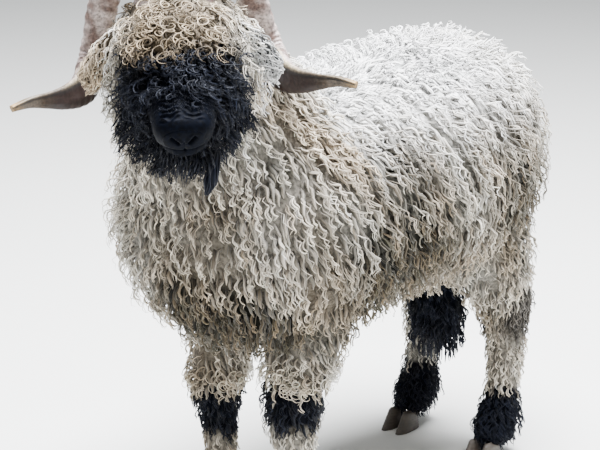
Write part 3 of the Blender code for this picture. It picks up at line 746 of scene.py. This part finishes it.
def lock_paths(roots, normals, pull, style, count):
    """Where each lock runs over the skin, with the skin's normal and its own heading there."""
    steps = style["segments"]
    sway = draws.normal(0, 1, count) * style["sway"]
    hang = smooth(-normals[:, 2], style["fall"], style["fall"] + 0.7) * style["hang"]
    stride = (style["reach"] * style["own_reach"] / steps)[:, None]
    guide = np.empty((steps + 1, count, 3))
    facing = np.empty((steps + 1, count, 3))
    heading = np.empty((steps + 1, count, 3))
    here, normal = roots.copy(), normals.copy()
    for k in range(steps + 1):
        way = pull(here)
        way = way - normal * ((way * normal).sum(1) * (1 - hang))[:, None]
        way = unit(way + heading[k - 1] * 0.8) if k else unit(way)
        if k == 0:
            across = np.cross(way, normal)
            way = unit(way * np.cos(sway)[:, None] + across * np.sin(sway)[:, None])
        guide[k], facing[k], heading[k] = here, normal, way
        ahead = here + way * stride
        if style["free"]:
            here = ahead
            continue
        for i, co in enumerate(ahead):
            here[i], normal[i] = hide.surface.find_nearest(co)[:2]
        here = here + (ahead - here) * hang[:, None]
        normal = unit(normal * 0.35 + facing[k] * 0.65)
    return guide, facing, heading


def locks(name, roots, normals, pull, style, colour, tile, dark, node):
    """One joined mesh of wool: each lock is a bundle of strands that wave together and close in a tip."""
    count = len(roots)
    steps, strands = style["segments"], style["strands"]
    style["own_reach"] = 1 + style["ragged"] * draws.uniform(-1, 1, count)
    guide, facing, heading = lock_paths(roots, normals, pull, style, count)
    own = np.repeat(np.arange(count), strands)
    total = count * strands

    def owned(key):
        """The style's value for each strand."""
        return np.broadcast_to(style[key], count)[own]

    def varied(key, low, high):
        return owned(key) * draws.uniform(low, high, total)

    guide, facing, heading = guide[:, own], facing[:, own], heading[:, own]
    height = owned("height") * draws.uniform(style["low"], 1.0, count)[own]
    height = height * draws.uniform(0.85, 1.1, total)
    start = draws.uniform(0, TAU, count)[own] + draws.normal(0, 0.35, total)
    turns = (style["turns"] * style["own_reach"] * draws.uniform(0.85, 1.15, count))[own]
    roll = (style["roll"] + draws.normal(0, 0.3, count))[own]
    swirl, radius = varied("swirl", 0.6, 1.4), varied("radius", 0.6, 1.35)
    splay = varied("splay", 0.5, 1.3)
    t = np.linspace(0, 1, steps + 1)[:, None]
    rise = smooth(t, 0, 0.5) * (height + style["sunk"]) - style["sunk"]
    across = np.cross(heading, facing)
    turned = start + TAU * turns * t
    spread = swirl * smooth(t, 0.0, 0.25) * (1 + style["open"] * t)
    second = facing * np.sin(roll)[:, None] + heading * np.cos(roll)[:, None]
    bundle = draws.uniform(0, TAU, total) + 2.0 * t
    apart = splay * np.interp(t, (0, 0.3, 0.7, 1), style["spread"])
    centre = (
        guide
        + across * (spread * (np.cos(turned) - np.cos(start)) + apart * np.cos(bundle))[:, :, None]
        + second * (spread * style["flatness"] * (np.sin(turned) - np.sin(start)))[:, :, None]
        + facing * (rise + 0.6 * apart * np.sin(bundle))[:, :, None]
    )
    tangent = unit(np.gradient(centre, axis=0))
    side = unit(np.cross(tangent, facing))
    top = np.cross(side, tangent)
    # strands are three-sided, thickest before the middle and close to nothing at the tip
    thick = np.interp(t, (0, 0.15, 0.4, 0.7, 0.9, 1), (0.7, 0.95, 1, 0.85, 0.55, 0.12)) * radius
    rings = [
        centre + (side * math.cos(a) + top * (style["thin"] * math.sin(a))) * thick[:, :, None]
        for a in (TAU * corner / 3 + TAU / 4 for corner in range(3))
    ]
    verts = np.stack(rings, axis=2).transpose(1, 0, 2, 3).reshape(-1, 3)
    per_strand = (steps + 1) * 3
    quads = [
        (3 * k + a, 3 * k + b, 3 * k + 3 + b, 3 * k + 3 + a)
        for k in range(steps)
        for a, b in ((0, 1), (1, 2), (2, 0))
    ]
    ends = [(2, 1, 0), (3 * steps, 3 * steps + 1, 3 * steps + 2)]
    offset = (np.arange(total) * per_strand)[:, None, None]
    quads = (np.array(quads)[None] + offset).reshape(-1, 4)
    ends = (np.array(ends)[None] + offset).reshape(-1, 3)
    corners = np.concatenate([quads.ravel(), ends.ravel()]).astype(np.int32)
    sizes = np.concatenate([np.full(len(quads), 4), np.full(len(ends), 3)])
    mesh = bpy.data.meshes.new(name)
    mesh.vertices.add(len(verts))
    mesh.loops.add(len(corners))
    mesh.polygons.add(len(sizes))
    mesh.vertices.foreach_set("co", verts.ravel())
    starts = np.concatenate([[0], np.cumsum(sizes)[:-1]]).astype(np.int32)
    mesh.polygons.foreach_set("loop_start", starts)
    mesh.loops.foreach_set("vertex_index", corners)
    mesh.update(calc_edges=True)

    # painted shade at the root, painted highlight towards the tip and along each strand's top edge, and
    # each lock and strand in its own random tone
    along = np.interp(t[:, 0], (0, 0.3, 0.7, 1), style["shades"])
    own_shade = draws.uniform(*style["vary"], count)[own] * draws.uniform(0.8, 1.2, total)
    # lifting takes painted shade away: along the back as painted light from above; on the curls, set at
    # random, it mostly deepens the shade instead
    lift = owned("lift")[:, None, None]
    along = along[None, :, None] + np.maximum(1 - along, 0)[None, :, None] * lift
    shade = colour[own][:, None, :] * along * own_shade[:, None, None]
    # painted highlight on each strand's top corner, painted shade on its two lower ones
    ridge_light = np.array([1.2, 0.72, 0.72])[None, None, :, None]
    colour_layer(mesh, "wool", np.minimum(shade[:, :, None, :] * ridge_light, PALEST).reshape(-1, 3))

    # a small patch of the unwrapped skin for each strand, and its fibres laid out along it
    strand_of, inside = corners // per_strand, corners % per_strand
    grid = np.column_stack([(inside % 3) / 2.0, (inside // 3) / steps])
    uv_layer(mesh, "OFBake", tile[own[strand_of]] + (grid - 0.5) * PATCH)
    laid = np.column_stack([grid[:, 0] * radius[strand_of] * 4, grid[:, 1] * owned("reach")[strand_of]])
    uv_layer(mesh, "fibre", laid + draws.uniform(0, 5, (total, 2))[strand_of])
    material, slot = (BLACK_WOOL, "black_wool") if dark else (WOOL, "fleece")
    finish_piece(in_scene(name, mesh), [node], material)


def picked(style, which, count):
    """The style of some of the locks: its values with one entry for each of `count` are picked from."""
    return {
        key: value[which] if isinstance(value, np.ndarray) and len(value) == count else value
        for key, value in style.items()
    }


def grow(name, where, spacing, pull, **style):
    """Scatters roots where `where` is above zero and grows locks on them, in pieces by node and colour."""
    weight = hide.area / np.square(spacing) * where / 1
    chosen, roots, normals = hide.scatter(weight)
    colour, black = markings(roots)
    low_down = 1 - smooth(roots[:, 2], 0.66, 0.8)
    tint = draws.beta(1.1, 3.0, len(chosen)) * 0.7 * (1 - black) * (0.25 + 0.75 * low_down)
    colour = blend(colour, TAN * 0.9, tint)
    grime = draws.beta(0.5, 2.2, len(chosen)) * 0.7 * (1 - black) * low_down
    colour = blend(colour, DIRT_AND_SHADE, grime)
    tile = hide.tiles(chosen, roots)
    style = picked({**COMMON, **style}, chosen, len(where))
    style["height"] = np.maximum(hide.coat[chosen] * (1 - SKIN_SHARE) - 0.002, 0.003) * style["height"]
    per_lock = style["strands"] * (style["segments"] * 6 + 2)
    numbers = hide.number[chosen]
    for number, form_name in enumerate(NAMES):
        for dark in (False, True):
            mine = np.flatnonzero((numbers == number) & ((black > 0.5) == dark))
            if len(mine) == 0:
                continue
            mine = mine[np.argsort(hide.u[chosen[mine]], kind="stable")]
            parts = math.ceil(len(mine) * per_lock / PIECE_TRIANGLES)
            node = "head" if form_name == "jaw" else form_name
            for part, some in enumerate(np.array_split(mine, parts)):
                words = [form_name, "black" if dark else "pale", name] + [str(part)] * (parts > 1)
                own = picked(style, some, len(chosen))
                given = (roots[some], normals[some], pull, own, colour[some], tile[some])
                locks("_".join(words), *given, dark, node)


def body_pull(points):
    """Wool on the trunk hangs down and a little back."""
    way = np.zeros_like(points) - UP
    way += REAR * (0.22 + 0.18 * ripple(points, 0.12, 21))[:, None]
    way += LEFT * (0.25 * ripple(points, 0.1, 22) + 0.4 * points[:, 0])[:, None]
    return way


def leg_pull(points):
    return np.zeros_like(points) - UP + LEFT * (0.2 * ripple(points, 0.05, 23))[:, None]


def head_pull(points):
    """Curls fall forward over the brow, and down and outwards on the cheeks."""
    _, left, up = head_place(points)
    brow = smooth(up, 0.02, 0.06)[:, None]
    way = brow * (FACE * 0.7 - UP * 0.4) + (1 - brow) * (-UP * 0.9 - FACE * 0.15)
    outward = 0.35 * np.sign(left) * smooth(np.abs(left), 0.01, 0.05) * smooth(up, -0.1, -0.04)
    return way + HEAD_LEFT * (outward + 0.5 * ripple(points, 0.04, 24))[:, None]


def ear_pull(points):
    _, left, _ = head_place(points)
    return -UP * 0.8 + HEAD_LEFT * (0.5 * np.sign(left))[:, None]


WOOL = wool_material("raw wool", 0.85, 0.2, 0.12)
BLACK_WOOL = wool_material("black wool", 0.55, 0.16, 0.0)
skin = make_skin()
hide = Hide(skin.data)
skin_points = points_of(skin.data)
skin_colour, skin_black = markings(skin_points)
# painted shade: the skin shows between the locks and is painted dark there, less on the black skin and
# along the back, where light from above falls, and darker on the ears
skin_top = smooth(skin_points[:, 2], 0.62, 0.8) * (1 - skin_black) * (skin_points[:, 1] > -0.22)
on_ear = band(np.abs(head_place(skin_points)[1]), 0.085, 0.1, 0.17, 0.19)
skin_shade = 0.2 + 0.12 * skin_black + 0.45 * skin_top - 0.12 * on_ear * (skin_points[:, 2] > 0.8)
colour_layer(skin.data, "wool", skin_colour * skin_shade[:, None])
finish_piece(skin, [name for name in FORMS if name != "jaw"], skin_material())

# How the wool grows over the skin: where, how closely, which way and in what shape.
back, left, up = head_place(hide.middle)
height_of = hide.middle[:, 2]
on_back = smooth(height_of, 0.66, 0.8) * hide.on("torso")
trunk = hide.on("torso", "neck")
above_knee = np.where(hide.middle[:, 0] > 0.02, 0.35, 0.302)
legs = hide.on("tail", "scrotum", *LEGS)
low_leg = legs * (1 - smooth(hide.coat, 0.018, 0.028))
limbs = legs * (1 - hide.on("scrotum"))
scalp = hide.on("head") * smooth(hide.coat, 0.012, 0.02)
jaws = hide.on("jaw") * (back > 0.035)
clear_of_eyes = (distance(hide.middle, EYES.values()) > 0.024).astype(float)
hair = scalp * clear_of_eyes
cheek = scalp * np.clip(smooth(up, 0.02, -0.02) + smooth(back, 0.13, 0.1), 0, 1) * clear_of_eyes

# the felted base: its shades paint it dark, as the shade between the locks above it
grow(
    "felt", trunk + legs, 0.0184 - 0.0028 * on_back - 0.005 * low_leg, body_pull,
    segments=5, reach=0.042 - 0.018 * low_leg, radius=0.0039 - 0.0014 * low_leg, swirl=0.0018, turns=1.6,
    roll=0.2, sway=0.4, flatness=0.3, thin=0.6, height=0.55, hang=0.5, lift=0.85 * on_back,
    shades=(0.16, 0.38, 0.62, 0.82),
)
grow(
    "fleece", trunk, 0.0192 - 0.001 * on_back, body_pull,
    segments=12, strands=2, reach=0.042 - 0.01 * on_back, radius=0.0016, splay=0.0026,
    swirl=0.0023 + 0.001 * on_back, turns=2.4 + 0.2 * on_back, sway=0.25 + 0.5 * on_back, open=0.6,
    lift=0.85 * on_back,
)
grow(
    "strays", trunk * (1 - on_back) + hide.on(*LEGS) * 0.6, 0.034, body_pull,
    segments=7, reach=0.03, radius=0.0008, swirl=0.0034, turns=1.7, roll=1.0, sway=0.7, flatness=0.8,
    low=0.8, height=1.1, open=0.3, shades=(0.7, 1.0, 1.15, 1.25),
)
grow(
    "wool", limbs * (1 - low_leg), 0.0178, leg_pull,
    segments=10, strands=2, reach=0.036, radius=0.0016, splay=0.0028, swirl=0.0023, turns=2.0, sway=0.3,
    open=0.8,
)
grow(
    "short_wool", limbs * low_leg, 0.0118, leg_pull,
    segments=8, strands=2, reach=0.025, radius=0.0013, splay=0.0024, swirl=0.0018, turns=1.6, sway=0.4,
    open=0.6, hang=0.9, fall=-0.2,
)
grow(
    "feather", hide.on(*LEGS) * (height_of < 0.115) * (height_of > 0.045), 0.0088, leg_pull,
    segments=8, strands=2, reach=np.clip(0.62 * (height_of - 0.02), 0.01, 0.038), radius=0.0014,
    splay=0.003, swirl=0.0026, turns=1.6, roll=0.8, sway=0.35, flatness=0.8, height=1.2, open=0.8,
    hang=1.0, fall=-0.7,
)
grow(
    "wool", hide.on("scrotum"), 0.0115, leg_pull,
    segments=8, strands=2, reach=0.035, radius=0.0017, splay=0.0044, swirl=0.0024, turns=1.8, sway=0.3,
    open=0.4, hang=1.0, fall=-0.35, height=2.2, ragged=0.08,
)
# underwool painted dark by its shades, as the shade beneath the curls
grow(
    "underwool", hair * smooth(back, 0.1, 0.12), 0.0102, head_pull,
    segments=8, strands=2, reach=0.03, radius=0.0014, splay=0.0028, swirl=0.0034, turns=1.8, roll=1.0,
    sway=0.4, height=0.75, shades=(0.08, 0.2, 0.38, 0.52),
)
grow(
    "curls", hair * smooth(up, -0.03, 0.02) * smooth(back, 0.1, 0.12), 0.0084, head_pull,
    segments=19, reach=0.016, radius=0.0012, swirl=0.0046 + 0.0045 * hide.pick, turns=1.5, roll=0.35,
    sway=0.8, flatness=0.95, low=0.5, height=1.2, open=0.1, lift=0.6 * hide.pick - 0.5, vary=(0.55, 1.35),
    shades=(0.2, 0.5, 0.85, 1.3),
)
grow(
    "ringlets", cheek, 0.0077, head_pull,
    segments=13, strands=2, reach=0.03, radius=0.0011, splay=0.002, swirl=0.0044, turns=2.2, roll=0.6,
    sway=0.5, flatness=0.85, height=1.35 + 0.7 * smooth(np.abs(left), 0.03, 0.06), open=0.2,
)
grow(
    "beard", jaws + hide.on("head") * (back > 0.05) * smooth(up, -0.025, -0.04), 0.006, head_pull,
    segments=16, strands=2, reach=0.058, radius=0.0011, splay=0.0026, swirl=0.005, turns=3.2, roll=0.7,
    sway=0.6, flatness=0.9, height=0.9 + 1.0 * smooth(np.abs(left), 0.018, 0.036), open=0.5, hang=0.95,
    fall=-0.3,
)
muzzle = smooth(back, 0.02, 0.032) * smooth(back, 0.09, 0.07)
grow(
    "velvet", hide.on("head", "jaw") * muzzle, 0.0034, head_pull,
    segments=3, reach=0.006, radius=0.00045, swirl=0.0003, turns=0.5, roll=1.0, sway=0.3, flatness=0.5,
    sunk=0.0006, height=0.0008 / np.maximum(hide.coat * (1 - SKIN_SHARE) - 0.002, 0.003),
    shades=(0.6, 0.8, 0.9, 1.0),
)
grow(
    "wool", hide.on(*EARS), 0.0062, ear_pull,
    segments=11, reach=0.048, radius=0.0014, swirl=0.0028, turns=2.2, roll=0.8, sway=0.25, flatness=0.8,
    height=0.7, open=0.5, ragged=0.45, vary=(0.4, 1.5), shades=(0.3, 0.85, 1.2, 1.35),
)
at_knees = hide.on("foreleg_left", "foreleg_right") * (np.abs(height_of - above_knee) < 0.012)
grow(
    "fringe", at_knees, 0.0085, leg_pull,
    segments=16, reach=0.018, radius=0.0012, swirl=0.0058, turns=1.6, roll=0.4, sway=0.6, flatness=0.9,
    height=1.1, low=0.8, open=0.1, shades=(0.8, 1.3, 1.7, 2.0),
)


def beard_pull(points):
    return np.tile(-UP - HEAD_LEFT * 0.28, (len(points), 1))


def beard():
    """A drop of matted black hair under the chin, closing in a point."""
    count = 44
    roots = head_point(0.038, 0.044, -0.062) + draws.normal(0, 0.0016, (count, 3))
    facing = np.tile(LEVEL, (count, 1))
    style = dict(
        COMMON, free=True, segments=14, reach=0.064, ragged=0.04, height=0.003, radius=0.0017, splay=0.0085,
        spread=(0.3, 0.45, 1.0, 0.0), swirl=0.0012, open=-0.8, turns=1.2, roll=0.8, sway=0.0, flatness=1.0,
    )
    # its place on the unwrapped skin is on the jaw's tile
    tile = np.tile((0.73, 0.68), (count, 1)) + draws.normal(0, 0.003, (count, 2))
    locks("beard", roots, facing, beard_pull, style, np.tile(BLACK, (count, 1)), tile, True, "head")


beard()


# Horns, eyes and hooves.

# The keel that parts the pale face from the dark inner one: it turns over the front towards the tip.
KEEL = ((0.0, 0.38, 0.45, 0.5, 0.55, 0.62, 1.0), (120, 120, 78, 40, 18, 4, -4))


def horn(name, side, material):
    """An open spiral horn: a rounded triangle that twists, with growth rings that fade to the tip."""
    path = horn_path(side)
    knots = np.linspace(0, path.last, 400)
    along = path.axes(knots)[0]
    broad = np.empty_like(along)
    facing = LEVEL.copy()
    for i, way in enumerate(along):
        facing = unit(facing - way * (facing @ way))
        broad[i] = facing
    shades = {}

    def place(t, angle):
        end = 0.02
        share = np.clip((t - end) / (1 - 2 * end), 0, 1)
        u = share * path.last
        row = path.row(u)
        way = np.column_stack([np.interp(u, knots, along[:, k]) for k in range(3)])
        wide = np.column_stack([np.interp(u, knots, broad[:, k]) for k in range(3)])
        wide = unit(wide - way * (wide * way).sum(1, keepdims=True))
        deep = np.cross(way, wide)
        nearest = np.clip(np.minimum(t, 1 - t) / end, 0, 1)
        bulge = 1 + 0.13 * np.cos(3 * angle)
        rings = np.sin(TAU * (share * 46 + 0.5 * np.sin(share * 23) + 0.12 * np.cos(angle)))
        swells = 0.018 * np.sin(TAU * share * 13 + 1)
        ridged = 1 + (0.03 * rings + swells) * (1 - smooth(share, 0.55, 0.85))
        grooves = 1 + 0.012 * np.sin(angle * 9 + 3 * share)
        turn, border = (np.degrees(angle * side) + 180) % 360 - 180, np.interp(share, *KEEL)
        keel = hump(turn - border, 10) * smooth(share, 0.34, 0.48)
        size = (bulge * ridged * grooves + 0.09 * keel) * np.sin(nearest * TAU / 4)
        a = row[:, 3] * size * np.cos(angle)
        b = row[:, 4] * size * np.sin(angle)
        twist = side * HORN_TWIST * share
        flat_a = a * np.cos(twist) - b * np.sin(twist)
        flat_b = a * np.sin(twist) + b * np.cos(twist)
        shades["share"], shades["keel"] = share, keel
        shades["under"] = hump(turn - border - 22, 12) * smooth(share, 0.34, 0.48)
        inner = smooth(turn - border, -3, 5) * (1 - smooth(turn, 172, 180))
        shades["inner"] = inner * smooth(share, 0.34, 0.42)
        return row[:, :3] + wide * flat_a[:, None] + deep * flat_b[:, None]

    piece = shaped_ball(name, 42, 300, place)
    share = shades["share"]
    points = points_of(piece.data)
    mottle = np.clip(0.5 + 0.6 * ripple(points, 0.03, 31) + 0.4 * ripple(points, 0.012, 32), 0, 1)
    colour = blend(linear("#b0a39e"), linear("#65514a"), mottle)
    # the tip is dark with an amber end; the inner face is reddish black, partly the horn's own colour and
    # partly painted shade where it turns in and down, under a pale keel
    colour = blend(colour, linear("#453a22"), 0.85 * smooth(share, 0.66, 0.82))
    colour = blend(colour, linear("#a58450"), 0.8 * smooth(share, 0.93, 1.0))
    red = 0.97 * shades["inner"] * (1 - 0.5 * smooth(share, 0.78, 0.92))
    colour = blend(colour, linear("#1a0c09"), red)
    # painted shade: a dark line just below the keel, where a groove lies in shade
    colour = colour * (1 - 0.85 * shades["under"])[:, None]
    # painted highlight along the keel, fading towards the tip
    colour = blend(colour, linear("#b8a98a"), 0.7 * shades["keel"] * (1 - 0.9 * smooth(share, 0.66, 0.8)))
    colour_layer(piece.data, "keratin", colour)
    finish_piece(piece, [name], material)


def horn_material():
    """Keratin horn: dull and fibrous, with fine specks."""
    material, tree, shader = new_material("horn keratin", roughness=0.55, ior=1.54, specular_ior_level=0.35)
    # specks 4 mm across
    specks = noise(tree, object_place(tree), 230.0, 4.0)
    painted(tree, shader, "keratin", specks, (0.3, 0.7, 0.4, 1.5))
    bumped(tree, shader, specks, 0.35)
    return material


def eye(name, side, material):
    """A sheep's eye: amber iris with a level slit of a pupil under a clear cornea."""
    axis = unit(HEAD_LEFT * side + FACE * 0.3 + CROWN * 0.05)
    level = unit(FACE - axis * (FACE @ axis))
    rise = np.cross(axis, level)
    seen = {}

    def place(t, angle):
        way = np.column_stack([np.sin(t * math.pi) * np.cos(angle), np.sin(t * math.pi) * np.sin(angle)])
        out = np.cos(t * math.pi)
        seen["across"], seen["up"], seen["out"] = way[:, 0], way[:, 1], out
        swell = 1 + 0.04 * np.exp(-((1 - out) / 0.15) ** 2)
        spoke = axis * out[:, None] + level * way[:, :1] + rise * way[:, 1:]
        return EYES[side] + spoke * (EYE_RADIUS * swell)[:, None]

    piece = shaped_ball(name, 48, 48, place)
    across, up, out = seen["across"], seen["up"], seen["out"]
    away = np.hypot(across, up)
    away = np.hypot(across, up)
    amber, rim, white, pupil = (linear(code) for code in ("#573c1c", "#1c120b", "#241b17", "#050507"))
    colour = blend(amber, rim, smooth(away, 0.3, 0.56))
    colour = blend(colour, white, smooth(away, 0.56, 0.62))
    slit = 1 - smooth(np.maximum(np.abs(across) / 0.34, np.abs(up) / 0.12), 0.85, 1.1)
    colour = blend(colour, pupil, slit * (out > 0))
    colour_layer(piece.data, "iris", colour)
    finish_piece(piece, [name], material)


def eye_material():
    """Living cornea: wet and clear over the coloured iris."""
    material, tree, shader = new_material(
        "wet cornea", roughness=0.05, ior=1.376, coat_weight=1.0, coat_roughness=0.02
    )
    colour = add(tree, "ShaderNodeVertexColor", {"layer_name": "iris"})
    tree.links.new(colour.outputs["Color"], shader.inputs["Base Color"])
    return material


def hoof(name, material):
    """One claw of a cloven hoof: walls that lean forward from a flat sole, with faint growth lines."""
    low, high = (np.array(corner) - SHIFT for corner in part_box(name))
    middle, half = (low + high) / 2, (high - low) / 2

    def place(t, angle):
        steps = (0, 0.22, 0.3, 0.86, 0.9, 1)
        rise = np.interp(t, steps, (1.0, 0.97, 0.9, 0.05, 0.0, 0.0))
        size = np.interp(t, steps, (0.0, 0.66, 0.74, 0.99, 0.97, 0.0))
        size = size * (1 + 0.014 * np.sin(rise * TAU * 7) * (t > 0.3) * (t < 0.86))
        x = squared(np.cos(angle), 2 / 2.6)
        y = squared(np.sin(angle), 2 / 2.6)
        toe = 1 - 0.3 * smooth(-y, 0.4, 1.0)
        shift = 0.012 * rise
        slope = 0.008 * (y + 1) * rise * 0.5
        return np.column_stack(
            [
                middle[0] + half[0] * x * toe * size,
                middle[1] + half[1] * y * size * (1 - 0.13 * rise) + shift,
                low[2] + (high[2] - low[2]) * rise - slope,
            ]
        )

    finish_piece(shaped_ball(name, 32, 44, place), [name], material)


def hoof_material():
    """Hoof horn: dark grey keratin, dry and dusty."""
    material, tree, shader = new_material("hoof horn", roughness=0.6, ior=1.54)
    dust = noise(tree, object_place(tree), 120.0, 4.0)
    ramp = add(tree, "ShaderNodeValToRGB", links={"Fac": dust})
    for element, code in zip(ramp.color_ramp.elements, ("#1d1916", "#4b4238")):
        element.color = (*linear(code), 1)
    tree.links.new(ramp.outputs["Color"], shader.inputs["Base Color"])
    bumped(tree, shader, dust, 0.3)
    return material


keratin, cornea, claw = horn_material(), eye_material(), hoof_material()
for word, sign in (("left", 1), ("right", -1)):
    horn("horn_" + word, sign, keratin)
    eye("eye_" + word, sign, cornea)
for node_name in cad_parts:
    if "hoof" in node_name:
        hoof(node_name, claw)


# Floor, light and camera.


def make_floor():
    bm = bmesh.new()
    bmesh.ops.create_grid(bm, x_segments=2, y_segments=2, size=12)
    mesh = bpy.data.meshes.new("floor")
    bm.to_mesh(mesh)
    bm.free()
    material, _, shader = new_material("matt studio paper", roughness=0.9)
    shader.inputs["Base Color"].default_value = (*linear("#d8d8d4"), 1)
    mesh.materials.append(material)
    in_scene("floor", mesh)


def area_light(name, place, target, size, power, colour):
    light = bpy.data.lights.new(name, "AREA")
    light.shape = "DISK"
    light.size = size
    light.energy = power
    light.color = linear(colour)
    lamp = in_scene(name, light)
    lamp.location = place
    lamp.rotation_euler = (Vector(target) - Vector(place)).to_track_quat("-Z", "Y").to_euler()


make_floor()
area_light("sky", (0.4, 0.3, 4.2), (0, 0, 0.6), 2.8, 1770, "#f8faff")
area_light("front", (3.2, -3.4, 2.2), (0, -0.1, 0.6), 2.6, 52, "#fff8ee")
area_light("side", (-3.4, -1.8, 1.8), (0, 0, 0.6), 2.4, 22, "#ffffff")
world = bpy.data.worlds.new("studio")
world.use_nodes = True
background = world.node_tree.nodes["Background"].inputs
background["Color"].default_value = (*linear("#e6ebf0"), 1)
background["Strength"].default_value = 0.5
bpy.context.scene.world = world

# The photograph's viewpoint: from the front left of the animal, a little above its back.
CAMERA_TURN = math.radians(40.54)
CAMERA_DIP = math.radians(15.7)
CAMERA_PLACE = np.array([1.9197, -2.3643, 1.3728])
camera = in_scene("camera", bpy.data.cameras.new("camera"))
camera.data.lens = 106.46
camera.location = CAMERA_PLACE + SHIFT
camera.rotation_euler = Euler((math.pi / 2 - CAMERA_DIP, 0, CAMERA_TURN))
bpy.context.scene.camera = camera
